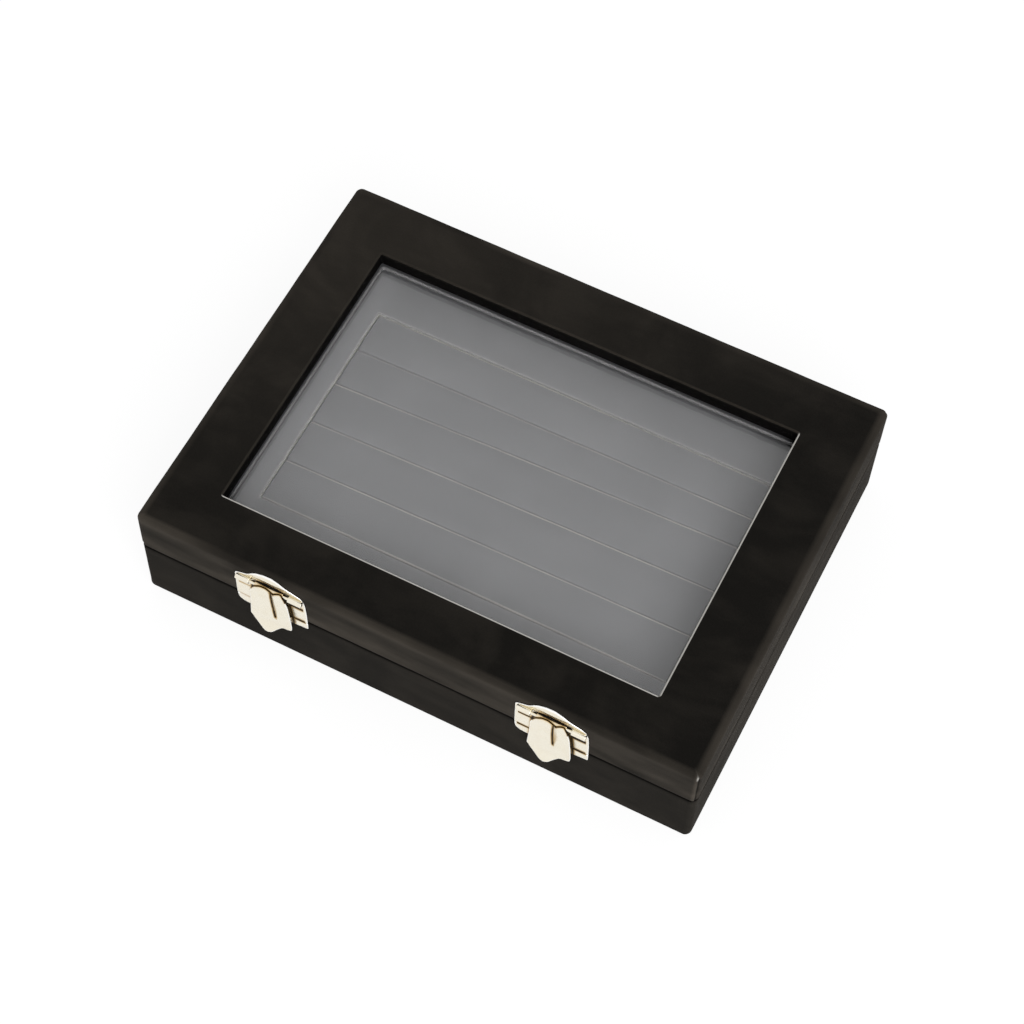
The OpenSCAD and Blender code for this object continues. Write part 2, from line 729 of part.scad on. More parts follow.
// The tongue's section: a flat sheet, and a lip that leans out below
module tongue_section() {
  lean = lip_out / tip_drop;
  polygon([
    [tongue_in, tongue_top_z], [tongue_out, tongue_top_z],
    [tongue_out, corner_z], [tongue_out + lip_out + lean * CUT, tip_z - CUT],
    [tongue_in + lip_out + lean * CUT, tip_z - CUT], [tongue_in, corner_z]
  ]);
}

// The tongue's outline: arched top, sides that widen downwards, and a rounded point off its middle
module tongue_outline() {
  top_half = tongue_top_w / 2;
  low_half = tongue_low_w / 2;
  shoulder_z = tongue_top_z - shoulder_r;
  arch = [for (a = [0:ARCH_STEP:180])
    [top_half * cos(a), shoulder_z + shoulder_r * pow(sin(a), ARCH_POWER)]];
  tip_xs = [for (u = [TIP_STEP - 1:TIP_STEP:1]) tip_x + tip_half * u];
  point = [for (x = tip_xs) if (abs(x) < low_half) [x, corner_z - tip_drop * tip_share(x)]];
  polygon(concat(arch, [[-low_half, corner_z]], point, [[low_half, corner_z]]));
}

// Depth of the tongue's lower point at x, as a share of the tip's
function tip_share(x) = max(1 - pow(abs(x - tip_x) / tip_half, TIP_POWER), 0);

module latch_tongue() {
  difference() {
    union() {
      intersection() {
        across_front(tongue_low_w) tongue_section();
        on_front() linear_extrude(tongue_out + lip_out + CUT) tongue_outline();
      }
      front_bar(curl_r, pin_out, pin_z, -curl_half, curl_half);
    }
    front_bar(latch_pin_r + pin_play, pin_out, pin_z, -tongue_low_w, tongue_low_w);
    // the pressed groove, widest at the top
    on_front() translate([0, 0, tongue_out - groove_t]) linear_extrude(metal_t) polygon([
      [groove_x - groove_w / 2, tongue_top_z],
      [groove_x, groove_low],
      [groove_x + groove_w / 2, tongue_top_z]
    ]);
  }
}

module latch_left_plate() { color(BRASS) at_latch(-1) latch_plate(); }
module latch_left_pin() { color(BRASS) at_latch(-1) latch_pin(); }
module latch_left_tongue() { color(BRASS) at_latch(-1) latch_tongue(); }
module latch_left_catch() { color(BRASS) at_latch(-1) latch_catch(); }
module latch_right_plate() { color(BRASS) at_latch(1) latch_plate(); }
module latch_right_pin() { color(BRASS) at_latch(1) latch_pin(); }
module latch_right_tongue() { color(BRASS) at_latch(1) latch_tongue(); }
module latch_right_catch() { color(BRASS) at_latch(1) latch_catch(); }

base_floor();
base_front_wall();
base_back_wall();
base_left_wall();
base_right_wall();
base_velvet();
underside_sheet();
base_lining();
tray_floor();
tray_deck();
deck_foam_front();
deck_foam_back();
deck_foam_left();
deck_foam_right();
cushion_roll(1);  // cushion_roll_1
cushion_roll(2);  // cushion_roll_2
cushion_roll(3);  // cushion_roll_3
cushion_roll(4);  // cushion_roll_4
cushion_roll(5);  // cushion_roll_5
lid_top_board();
lid_front_rail();
lid_back_rail();
lid_left_rail();
lid_right_rail();
lid_velvet();
lid_lining();
glass_pane();
glass_spacer();
glass_retainer();
hinge_left_base_leaf();
hinge_left_lid_leaf();
hinge_left_pin();
hinge_right_base_leaf();
hinge_right_lid_leaf();
hinge_right_pin();
base_hinge_screws();
lid_hinge_screws();
latch_left_plate();
latch_left_pin();
latch_left_tongue();
latch_left_catch();
latch_right_plate();
latch_right_pin();
latch_right_tongue();
latch_right_catch();
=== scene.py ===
import math

import bmesh
import bpy
import numpy as np
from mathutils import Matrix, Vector, noise
from mathutils.geometry import delaunay_2d_cdt

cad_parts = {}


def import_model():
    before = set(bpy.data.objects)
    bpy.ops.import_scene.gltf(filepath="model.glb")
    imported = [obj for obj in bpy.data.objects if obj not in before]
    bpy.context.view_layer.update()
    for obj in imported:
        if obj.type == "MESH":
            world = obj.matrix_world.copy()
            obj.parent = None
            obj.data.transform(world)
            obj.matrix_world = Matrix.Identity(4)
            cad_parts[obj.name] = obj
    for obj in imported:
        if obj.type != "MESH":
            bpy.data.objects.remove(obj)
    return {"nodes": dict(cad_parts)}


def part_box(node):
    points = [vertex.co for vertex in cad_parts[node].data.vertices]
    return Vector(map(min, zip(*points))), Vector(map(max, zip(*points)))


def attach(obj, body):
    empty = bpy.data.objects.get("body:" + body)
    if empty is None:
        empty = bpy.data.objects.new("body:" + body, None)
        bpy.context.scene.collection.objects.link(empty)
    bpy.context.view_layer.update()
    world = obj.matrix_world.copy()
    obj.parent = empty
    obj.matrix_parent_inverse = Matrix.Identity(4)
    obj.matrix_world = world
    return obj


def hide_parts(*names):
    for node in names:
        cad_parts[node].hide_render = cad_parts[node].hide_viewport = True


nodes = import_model()["nodes"]
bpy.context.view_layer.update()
MM = 0.001


# ---- Boards of the base and the lid ----
# Pressed fibre board, sawn to size, glued and nailed into two shallow trays. The velvet hides it on the
# finished box, so its brown, flecked faces only show where a piece is taken off.
BOARD_NODES = (
    "base_floor", "base_front_wall", "base_back_wall", "base_left_wall", "base_right_wall",
    "lid_top_board", "lid_front_rail", "lid_back_rail", "lid_left_rail", "lid_right_rail",
)
BOARD_DARK = (0.20, 0.125, 0.07, 1)
BOARD_PALE = (0.42, 0.30, 0.19, 1)
SURFACE = {"Color": "Color", "Roughness": "Float", "Normal": "Vector"}


def add(tree, kind, feeds=(), **settings):
    """Adds a node, a shader node unless its full kind is given. feeds are its sockets' values or outputs."""
    made = tree.nodes.new(kind if "Node" in kind else "ShaderNode" + kind)
    for name, value in settings.items():
        setattr(made, name, value)
    for socket, value in dict(feeds).items():
        if isinstance(value, bpy.types.NodeSocket):
            tree.links.new(value, made.inputs[socket])
        else:
            made.inputs[socket].default_value = value
    return made


def calc(tree, operation, *values, clamp=False):
    """One operation on numbers and outputs."""
    return add(tree, "Math", enumerate(values), operation=operation, use_clamp=clamp).outputs[0]


def place_in(tree):
    """The place on the piece, in metres."""
    return add(tree, "TexCoord").outputs["Object"]


def painted(tree, field):
    """The value that paint() stored for the piece's points."""
    return add(tree, "Attribute", attribute_name=field).outputs["Fac"]


def mottle(tree, where, size, detail=2.0, rough=0.5, skew=0.0):
    """Noise whose patches are size metres across."""
    scale = 1 / size if isinstance(size, float) else calc(tree, "DIVIDE", 1.0, size)
    return add(tree, "TexNoise", {
        "Vector": where, "Scale": scale, "Detail": detail, "Roughness": rough, "Distortion": skew,
    }).outputs["Fac"]


def cells(tree, scale):
    """Distance from the middle of the nearest cell."""
    found = add(tree, "TexVoronoi", {"Vector": place_in(tree), "Scale": scale}, feature="F1")
    return found.outputs["Distance"]


def blend_colours(tree, share, dark, light):
    """A colour between two, by a share from 0 to 1."""
    return add(tree, "Mix", {0: share, 6: dark, 7: light}, data_type="RGBA").outputs[2]


def spread(tree, value, low, high, to_low=0.0, to_high=1.0, kind="LINEAR"):
    """A value stretched from one range to another and held inside it."""
    return add(tree, "MapRange", {
        "Value": value, "From Min": low, "From Max": high, "To Min": to_low, "To Max": to_high,
    }, interpolation_type=kind).outputs[0]


def new_group(name, wanted, given=SURFACE, kind="ShaderNodeTree"):
    """A node group. wanted gives each input's usual value, or its kind of socket where it has none."""
    group = bpy.data.node_groups.new(name, kind)
    for label, usual in wanted.items():
        plug = {float: "Float", int: "Int", tuple: "Color"}.get(type(usual), usual)
        socket = group.interface.new_socket(name=label, in_out="INPUT", socket_type="NodeSocket" + plug)
        if usual != plug:
            socket.default_value = usual
    for label, plug in given.items():
        group.interface.new_socket(name=label, in_out="OUTPUT", socket_type="NodeSocket" + plug)
    return group, group.nodes.new("NodeGroupInput").outputs, group.nodes.new("NodeGroupOutput").inputs


def feed_surface(tree, sockets, colour, rough, relief, depth, strength):
    """Feeds a surface's colour, roughness and relief to the sockets of a group or a shader."""
    bump = add(tree, "Bump", {"Height": relief, "Distance": depth, "Strength": strength}).outputs[0]
    for name, value in zip(SURFACE, (colour, rough, bump)):
        if value is not None:
            tree.links.new(value, sockets[name])


def new_finish(name, **plain):
    """A material with one Principled shader, whose plain sockets are set here, and its surface's sockets."""
    material = bpy.data.materials.new(name)
    material.use_nodes = True
    shader = material.node_tree.nodes["Principled BSDF"].inputs
    for socket, value in plain.items():
        shader[socket.replace("_", " ")].default_value = value
    surface = zip(SURFACE, (shader["Base Color"], shader["Roughness"], shader["Normal"]))
    return material, material.node_tree, dict(surface)


def group_finish(name, group, values, **plain):
    """A material whose surface comes from a group, with values of its own."""
    material, tree, sockets = new_finish(name, **plain)
    made = add(tree, "Group", values, node_tree=group).outputs
    for socket in SURFACE:
        tree.links.new(made[socket], sockets[socket])
    return material


def dress(node, material):
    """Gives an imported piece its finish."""
    piece = nodes[node]
    piece.data.materials.clear()
    piece.data.materials.append(material)


pressed_fibres, take, give = new_group("pressed_fibres", {
    "Dark": BOARD_DARK, "Pale": BOARD_PALE, "Fleck size": 1.2 * MM, "Depth": 0.1 * MM})
tree = pressed_fibres
fleck = mottle(tree, place_in(tree), take["Fleck size"], 6.0, 0.7, 1.4)
feed_surface(tree, give, blend_colours(tree, spread(tree, fleck, 0.35, 0.65), take["Dark"], take["Pale"]),
             spread(tree, fleck, 0.3, 0.7, 0.95, 0.75), fleck, take["Depth"], 1.0)
board = group_finish("fibre_board", pressed_fibres, {"Fleck size": 1.4 * MM}, Specular_IOR_Level=0.25)
for name in BOARD_NODES:
    dress(name, board)


# ---- Black velvet over the base ----
# Short-pile velvet glued round the four walls. It turns over the rim onto the boards' inner side, and
# under the floor as a hem with mitred corners, so its edges are soft and never quite straight.
case_low, case_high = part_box("base_velvet")
CASE_MID_Y = (case_low.y + case_high.y) / 2
CASE_W, CASE_D = case_high.x - case_low.x, case_high.y - case_low.y
RIM_Z, SHEET_T = case_high.z, case_low.z
VELVET_T = 0.9 * MM
WALL_T = 4 * MM
CORNER_R = 2.4 * MM
EDGE_R = 1.6 * MM
SHARP_R = 0.02 * MM
HEM_W = 12 * MM
FOLD_DEPTH = 0.10 * MM
STEP_ALONG = 2.5 * MM
CORNER_STEPS = 14
BLACK_DEEP = (0.0042, 0.0039, 0.0034, 1)
BLACK_BRUSHED_AND_LIT = (0.062, 0.053, 0.043, 1)
BLACK_HIGHLIGHT = (0.62, 0.60, 0.56, 1)
SHADED_PILE = {"Deep": (0.0035, 0.0033, 0.0031, 1), "Brushed and lit": (0.02, 0.018, 0.016, 1)}
# how far each side is brushed and lightened with painted sheen, and the height, reach and share of each band
# where the painted sheen is most
BASE_NAP_AND_SHEEN = {"front": 0.04, "right": 0.20, "back": 0.20, "left": 0.15}
NAP_AND_SHEEN_BANDS = ((32 * MM, 3.5 * MM, 0.45), (44.5 * MM, 1.8 * MM, 0.45))

velvet_pile, take, give = new_group("velvet_pile", {
    "Deep": BLACK_DEEP, "Brushed and lit": BLACK_BRUSHED_AND_LIT, "Highlight": BLACK_HIGHLIGHT,
    "Patch share": 0.14, "Tuft share": 0.03, "Pile depth": 0.12 * MM})
tree, place = velvet_pile, place_in(velvet_pile)
patches = mottle(tree, place, 30 * MM, 3.0, 0.55, 0.8)
combed = add(tree, "Mapping", {"Vector": place, "Scale": (0.35, 1.0, 1.6)}).outputs[0]
strokes = mottle(tree, combed, 7 * MM, 2.0, 0.6, 0.4)
tufts = mottle(tree, place, 0.35 * MM, 2.0, 0.6)
lying_and_painted_light = calc(tree, "MULTIPLY_ADD", strokes, 0.25, calc(tree, "MULTIPLY", patches, 0.75))
lying_and_painted_light = spread(tree, lying_and_painted_light, 0.38, 0.68, 0.0, take["Patch share"], "SMOOTHSTEP")
# this painted field adds brushed pile and also painted light and painted shade: sides lightened as painted
# sheen, lifted shadows on the deck, darker creases
lying_and_painted_light = calc(tree, "ADD", lying_and_painted_light, painted(tree, "brushed_and_painted_light"))
tuft_share = spread(tree, tufts, 0.3, 0.7, -1.0, 1.0)
lying_and_painted_light = calc(tree, "MULTIPLY_ADD", tuft_share, take["Tuft share"], lying_and_painted_light, clamp=True)
pile_colour = blend_colours(tree, lying_and_painted_light, take["Deep"], take["Brushed and lit"])
# the second painted field read here lays pale painted highlights on edges that catch the light
feed_surface(tree, give, blend_colours(tree, painted(tree, "painted_highlight"), pile_colour, take["Highlight"]),
             spread(tree, lying_and_painted_light, 0.0, 1.0, 1.0, 0.82), tufts, take["Pile depth"], 0.6)

black_velvet = group_finish(
    "black_velvet", velvet_pile, {},
    Sheen_Weight=0.028, Sheen_Roughness=0.7, Sheen_Tint=(1.0, 0.90, 0.78, 1), Specular_IOR_Level=0.05)
# near-black pile without sheen, painted as shade in the seam and on the window's upright sides
black_velvet_shaded = group_finish("black_velvet_painted_shade", velvet_pile, SHADED_PILE,
                               Sheen_Weight=0.0, Specular_IOR_Level=0.02)


def rounded_loop(width, depth, radius, middle, steps, corner_steps=CORNER_STEPS):
    """Points round a rectangle with round corners, seen from above, counter-clockwise from the front right
    corner, steps on a long and on a short side. Each row is x, y, the outward direction and the turn within
    a corner, which is -1 on the straights."""
    rows = []
    half = np.array([width / 2 - radius, depth / 2 - radius])
    signs = np.array([(1, -1), (1, 1), (-1, 1), (-1, -1)])
    for corner in range(4):
        for turn in np.arange(corner_steps + 1) / corner_steps:
            a = math.radians(90 * (corner - 1 + turn))
            out = np.array([math.cos(a), math.sin(a)])
            rows.append((*(middle + signs[corner] * half + radius * out), *out, turn))
        start, stop = (middle + signs[c % 4] * half + radius * out for c in (corner, corner + 1))
        n = steps[(corner + 1) % 2]
        rows += [(*(start * (1 - t) + stop * t), *out, -1) for t in np.arange(1, n) / n]
    return np.array(rows)


def arc(middle, radius, start, stop, steps):
    """Points (inset, height) along an arc, angles in degrees from straight outwards, upwards positive."""
    angles = [math.radians(start + (stop - start) * k / steps) for k in range(steps + 1)]
    return [(middle[0] - radius * math.cos(a), middle[1] + radius * math.sin(a)) for a in angles]


def even(points, gap):
    """Adds points to a line of (inset, height) points, so that none are further apart than gap."""
    out = [points[0]]
    for a, b in zip(points, points[1:]):
        n = max(1, math.ceil(math.dist(a, b) / gap))
        out += [(a[0] + (b[0] - a[0]) * k / n, a[1] + (b[1] - a[1]) * k / n) for k in range(1, n + 1)]
    return out


def skin(name, rings, caps=False):
    """A mesh from rings of points, each joined to the next and the last to the first, so that it closes
    like a bent tube. With caps the rings are a line, and each end is filled from its middle."""
    n, count = len(rings[0]), len(rings)
    points = np.concatenate(rings)
    faces = [(a + k, a + (k + 1) % n, b + (k + 1) % n, b + k)
             for a, b in ((j * n, (j + 1) % count * n) for j in range(count - caps)) for k in range(n)]
    if caps:
        points = np.concatenate([points, [rings[0].mean(axis=0), rings[-1].mean(axis=0)]])
        first, last, base = count * n, count * n + 1, (count - 1) * n
        faces += [(first, (k + 1) % n, k) for k in range(n)]
        faces += [(last, base + k, base + (k + 1) % n) for k in range(n)]
    mesh = bpy.data.meshes.new(name)
    mesh.from_pydata([tuple(p) for p in points], [], faces)
    return settle(mesh)


def settle(mesh):
    """Turns every face of a closed mesh outwards, and shades it smooth."""
    work = bmesh.new()
    work.from_mesh(mesh)
    bmesh.ops.recalc_face_normals(work, faces=work.faces)
    if work.calc_volume(signed=True) < 0:
        bmesh.ops.reverse_faces(work, faces=work.faces)
    work.to_mesh(mesh)
    work.free()
    mesh.shade_smooth()
    return mesh


def paint(mesh, field, values):
    """Stores one value for each point of a mesh, which its finish reads."""
    full = np.zeros(len(mesh.vertices), dtype=np.float32)
    values = np.ravel(values)
    full[:len(values)] = values
    mesh.attributes.new(field, "FLOAT", "POINT").data.foreach_set("value", full)


def second_finish(piece, material, rings, around):
    """Gives the faces between some of a skin's rings another finish."""
    piece.data.materials.append(material)
    for face in piece.data.polygons:
        if face.index // around in rings:
            face.material_index = 1


def near(value, middle, reach, peak=1.0):
    """A smooth hump: its peak at the middle, and almost 0 at twice its reach."""
    return peak * math.exp(-(((value - middle) / reach) ** 2))


def waver(x, y, z, size, seed):
    """Smooth unevenness from -1 to 1, with humps size metres apart."""
    return noise.noise(Vector((x / size + seed, y / size - 2 * seed, z / size + 3 * seed)))


def nap_and_sheen(row, z, sides, seed):
    """How much lighter an upright face is painted: brushed pile in long slanting strokes, and painted sheen
    that differs by side and height.
    """
    x, y, nx, ny = row[:4]
    share = (sides["front"] * max(-ny, 0) + sides["right"] * max(nx, 0)
             + sides["back"] * max(ny, 0) + sides["left"] * max(-nx, 0))
    height_sheen = 0.75 + sum(near(z, *band) for band in NAP_AND_SHEEN_BANDS)
    slant = waver(x + 1.2 * z, y + 1.2 * z, 5.0 * z, 30 * MM, seed)
    return share * height_sheen * (1 + 1.1 * slant + 0.4 * waver(x, y, 4 * z, 10 * MM, seed + 4))


def put(name, data):
    """A new object in the scene."""
    made = bpy.data.objects.new(name, data)
    bpy.context.scene.collection.objects.link(made)
    return made


def finished(name, mesh, material, body, slot, *stands_for):
    """Puts a finished mesh into the scene on its body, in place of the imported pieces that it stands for."""
    piece = put(name, mesh)
    mesh.materials.clear()
    mesh.materials.append(material)
    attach(piece, body)
    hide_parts(*stands_for)
    return piece


def covered(name, rings, fields, *place):
    """A finished piece from rings, with fields of values painted on its points."""
    mesh = skin(name, rings)
    for field, values in fields.items():
        paint(mesh, field, values)
    return finished(name, mesh, *place)


def handmade(rows, z, seed, amount):
    """A ring of velvet at one height, pushed in and out a little along its outward direction."""
    ring = np.empty((len(rows), 3))
    for k, (x, y, nx, ny, turn) in enumerate(rows):
        push = amount * (0.7 * waver(x, y, z, 16 * MM, seed) + 0.3 * waver(x, y, z, 5 * MM, seed))
        ring[k] = (x + nx * push, y + ny * push, z)
    return ring


inner = VELVET_T + WALL_T
foot_z, turn_z = SHEET_T + EDGE_R, RIM_Z - VELVET_T
base_profile = (
    even([(HEM_W, SHEET_T + VELVET_T), (HEM_W, SHEET_T), (EDGE_R, SHEET_T)], 1.6 * MM)
    + arc((EDGE_R, foot_z), EDGE_R, -90, 0, 7)[1:]
    + even([(0, foot_z), (0, turn_z)], 1.5 * MM)[1:]
    + arc((VELVET_T, turn_z), VELVET_T, 0, 90, 5)[1:]
    + even([(VELVET_T, RIM_Z), (inner, RIM_Z), (inner, turn_z)], 1.0 * MM)[1:]
    + even([(inner, turn_z), (VELVET_T, turn_z), (VELVET_T, foot_z)], 6 * MM)[1:]
    + arc((EDGE_R, foot_z), EDGE_R - VELVET_T, 0, -90, 5)[1:]
)
CASE_STEPS = (round(CASE_W / STEP_ALONG), round(CASE_D / STEP_ALONG))
rings, brushed_and_painted_light = [], []
for inset, z in base_profile:
    corner_r = max(CORNER_R - inset, SHARP_R)
    rows = rounded_loop(CASE_W - 2 * inset, CASE_D - 2 * inset, corner_r, (0, CASE_MID_Y), CASE_STEPS)
    in_sight = inset < VELVET_T * 0.9 and foot_z < z
    ring = handmade(rows, z, 3.1, 0.10 * MM if in_sight else 0.03 * MM)
    if in_sight or z < SHEET_T + 0.1 * MM:
        # the mitred fold down each corner
        along = (rows[:, 4] - 0.5) * CORNER_R * 1.57
        fold = np.where(rows[:, 4] >= 0, np.exp(-((along / (0.35 * MM)) ** 2)), 0)
        ring[:, :2] -= rows[:, 2:4] * (fold * FOLD_DEPTH)[:, None]
    rings.append(ring)
    brushed_and_painted_light.append([nap_and_sheen(row, z, BASE_NAP_AND_SHEEN, 3.1) if in_sight else 0 for row in rows])
piece = covered("base_velvet_cover", rings, {"brushed_and_painted_light": brushed_and_painted_light},
                black_velvet, "base", "black_velvet", "base_velvet")
# painted shade: the rings in the seam get the near-black pile without sheen
in_seam = {j for j, (inset, z) in enumerate(base_profile) if z > RIM_Z - 0.62 * VELVET_T}
second_finish(piece, black_velvet_shaded, in_seam, len(rings[0]))


# ---- Sheet under the base ----
# Black embossed paper, glued over the hem and the bare floor board. The closed box stands on it.
SHEET_COLOUR = (0.030, 0.029, 0.028, 1)
SHEET_RAISED = (0.055, 0.053, 0.050, 1)

paper, tree, sockets = new_finish("embossed_paper", Specular_IOR_Level=0.4)
raised = spread(tree, cells(tree, 900.0), 0.1, 0.6, 1.0, 0.0)
feed_surface(tree, sockets, blend_colours(tree, raised, SHEET_COLOUR, SHEET_RAISED),
             spread(tree, raised, 0.0, 1.0, 0.75, 0.5), raised, 0.1 * MM, 0.8)
dress("underside_sheet", paper)


# ---- Grey lining round the inside of the base and the lid ----
# Strips of the grey velvet on thin card, glued round the inner sides just inside the black rims, with
# their top edge turned over and their ends butted in the corners.
GREY_DEEP = (0.136, 0.137, 0.142, 1)
GREY_BRUSHED_AND_LIT = (0.183, 0.184, 0.190, 1)
GREY_HIGHLIGHT = (0.40, 0.375, 0.34, 1)
LINING_T = 0.8 * MM

grey_velvet = group_finish(
    "grey_velvet", velvet_pile, {"Deep": GREY_DEEP, "Brushed and lit": GREY_BRUSHED_AND_LIT, "Highlight": GREY_HIGHLIGHT,
                                 "Patch share": 0.30, "Tuft share": 0.02, "Pile depth": 0.008 * MM},
    Sheen_Weight=0.12, Sheen_Roughness=0.6, Sheen_Tint=(1.0, 0.97, 0.93, 1), Specular_IOR_Level=0.1)


for half in ("base", "lid"):
    low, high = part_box(half + "_lining")
    r = LINING_T / 2 * 0.98
    if half == "base":
        profile = [(LINING_T, low.z), (0, low.z)] + arc((r, high.z - r), r, 0, 90, 4)
        profile += arc((LINING_T - r, high.z - r), r, 90, 180, 4)
    else:
        profile = [(0, high.z), (LINING_T, high.z)] + arc((LINING_T - r, low.z + r), r, 180, 270, 4)
        profile += arc((r, low.z + r), r, 270, 360, 4)
    rings = []
    for inset, z in even(profile + [profile[0]], 3 * MM)[:-1]:
        rows = rounded_loop(high.x - low.x - 2 * inset, high.y - low.y - 2 * inset, SHARP_R,
                            (0, (high.y + low.y) / 2), (38, 28), 2)
        rings.append(handmade(rows, z, 5.7, 0.04 * MM))
    covered(half + "_lining_strips", rings, {}, grey_velvet, half, "grey_velvet", half + "_lining")


# ---- Insert: floor card and foam ----
# A grey card floor carries four foam strips round the rolls. They hold the deck up, and neither shows
# once the deck and the rolls are in.
CARD_DARK = (0.20, 0.19, 0.17, 1)
CARD_PALE = (0.33, 0.31, 0.28, 1)
FOAM_HOLLOW = (0.38, 0.38, 0.35, 1)
FOAM_FACE = (0.66, 0.66, 0.62, 1)

card_values = {"Dark": CARD_DARK, "Pale": CARD_PALE, "Fleck size": 0.7 * MM}
card = group_finish("grey_card", pressed_fibres, card_values, Specular_IOR_Level=0.25)
dress("tray_floor", card)

foam, tree, sockets = new_finish("open_cell_foam", Specular_IOR_Level=0.2, Roughness=0.9)
wall = spread(tree, cells(tree, 1400.0), 0.15, 0.6)
feed_surface(tree, sockets, blend_colours(tree, wall, FOAM_HOLLOW, FOAM_FACE), None, wall, 0.3 * MM, 1.0)
for side in ("front", "back", "left", "right"):
    dress("deck_foam_" + side, foam)


# ---- Insert: deck ----
# A card frame covered in grey velvet, laid on the foam flush with the rim. The velvet turns over its
# outer and inner edges, and the cloth is slit and tucked at the well's four corners.
deck_low, deck_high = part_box("tray_deck")
roll_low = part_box("cushion_roll_1")[0]
roll_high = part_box("cushion_roll_5")[1]
ROLL_GAP = 0.4 * MM
WELL_W = roll_high.x - roll_low.x + 2 * ROLL_GAP
WELL_FRONT = roll_low.y - ROLL_GAP
WELL_BACK = roll_high.y + ROLL_GAP
DECK_EDGE_R = 0.58 * MM
QUARTER = np.linspace(0, math.pi / 2, 5)
# painted light under the lid's frame, lifting its shadow on the deck: middle, reach and share
LEFT_PAINTED_LIGHT, RIGHT_PAINTED_LIGHT = (-78 * MM, 5 * MM, 0.75), (80 * MM, 10 * MM, 0.675)
FRONT_PAINTED_LIGHT = (-52 * MM, 9 * MM, 0.60)


def frame_rings(outer, opening, sections, seed, amount):
    """Rings between an outer loop and an opening: sections are (share of the way in, inset from the outer
    loop, inset from the opening, height)."""
    rings = []
    for share, from_outer, from_opening, z in sections:
        flat = (outer[:, :2] - outer[:, 2:4] * from_outer) * (1 - share)
        flat += (opening[:, :2] + opening[:, 2:4] * from_opening) * share
        rings.append(np.array([(x, y, z + amount * waver(x, y, 0, 14 * MM, seed)) for x, y in flat]))
    return rings


deck_size = deck_high.x - deck_low.x, deck_high.y - deck_low.y
deck_steps = [max(2, round(v / (3 * MM))) for v in deck_size]
deck_edge = rounded_loop(*deck_size, 0.5 * MM, (0, CASE_MID_Y), deck_steps, 6)
well_middle = (0, (WELL_FRONT + WELL_BACK) / 2)
well = rounded_loop(WELL_W, WELL_BACK - WELL_FRONT, 0.3 * MM, well_middle, deck_steps, 6)
r = DECK_EDGE_R
top, low = deck_high.z, deck_low.z
deck_sections = [(0, 0, 0, low + r)]
deck_sections += [(0, r * (1 - math.cos(a)), 0, top - r + r * math.sin(a)) for a in QUARTER]
deck_sections += [(share, r, r, top) for share in np.linspace(0.08, 0.92, 8)]
deck_sections += [(1, 0, r * (1 - math.sin(a)), top - r + r * math.cos(a)) for a in QUARTER]
deck_sections += [(1, 0, 0, low + r), (1, 0, r, low), (0, r, 0, low)]
deck_rings = frame_rings(deck_edge, well, deck_sections, 8.3, 0.06 * MM)
# a painted highlight on the well's inner edge, a thin pale line where it catches the light
lip = [0.20 if share == 1 and z > top - 0.8 * r and inset <= 0.72 * r else 0
       for share, _, inset, z in deck_sections]
painted_light_under_frame = [near(px, *LEFT_PAINTED_LIGHT) + near(py, *FRONT_PAINTED_LIGHT) + near(px, *RIGHT_PAINTED_LIGHT)
           for ring in deck_rings for px, py, pz in ring]
covered("covered_deck", deck_rings, {"painted_highlight": np.repeat(lip, len(well)), "brushed_and_painted_light": painted_light_under_frame},
        grey_velvet, "base", "grey_velvet", "tray_deck")


# ---- Insert: the five padded rolls ----
# Foam bars wrapped in the grey velvet and set side by side in the well, so that only a slit shows
# between two of them. They are soft, so the slits have shifted towards the back at their right ends, and
# their free tops are blown up a little by a cloth simulation.
SLIT_LEFT = (0, 0.2 * MM, 0.9 * MM, 1.3 * MM, 0.3 * MM, 0)
SLIT_RIGHT = (0, 2.6 * MM, 4.5 * MM, 6.4 * MM, 2.0 * MM, 0)
ROLLS = 5
ROLL_PITCH = (WELL_BACK - WELL_FRONT - ROLL_GAP) / ROLLS
ROLL_LEN = roll_high.x - roll_low.x
ROLL_EDGE = 0.75 * MM
ROLL_CROWN = 0.5 * MM
ROLL_ARCH = 0.28 * MM
ROLL_WAIST = 0.35 * MM
ROLL_PRESS = 0.185 * MM
ROLL_TOP = roll_high.z
ROLL_FOOT = roll_low.z
# the tops start this much too low, and the simulation lifts them; below HELD_Z the rolls press on each other
PUFF_ROOM = 0.33 * MM
PUFF_MOST = 0.35 * MM
PUFF_PRESSURE = 0.3
PUFF_FRAMES = 20
HELD_Z = ROLL_TOP - 1.2 * MM


def clamp(value):
    """A value held between 0 and 1."""
    return min(max(value, 0), 1)


def slit_y(k, x, side):
    """Place of one face of slit k at x: side is -1 for its front face and 1 for its back face."""
    u = x / ROLL_LEN + 0.5
    middle = WELL_FRONT + ROLL_GAP / 2 + k * ROLL_PITCH
    return middle + side * ROLL_GAP / 2 + SLIT_LEFT[k] * (1 - u) + SLIT_RIGHT[k] * u


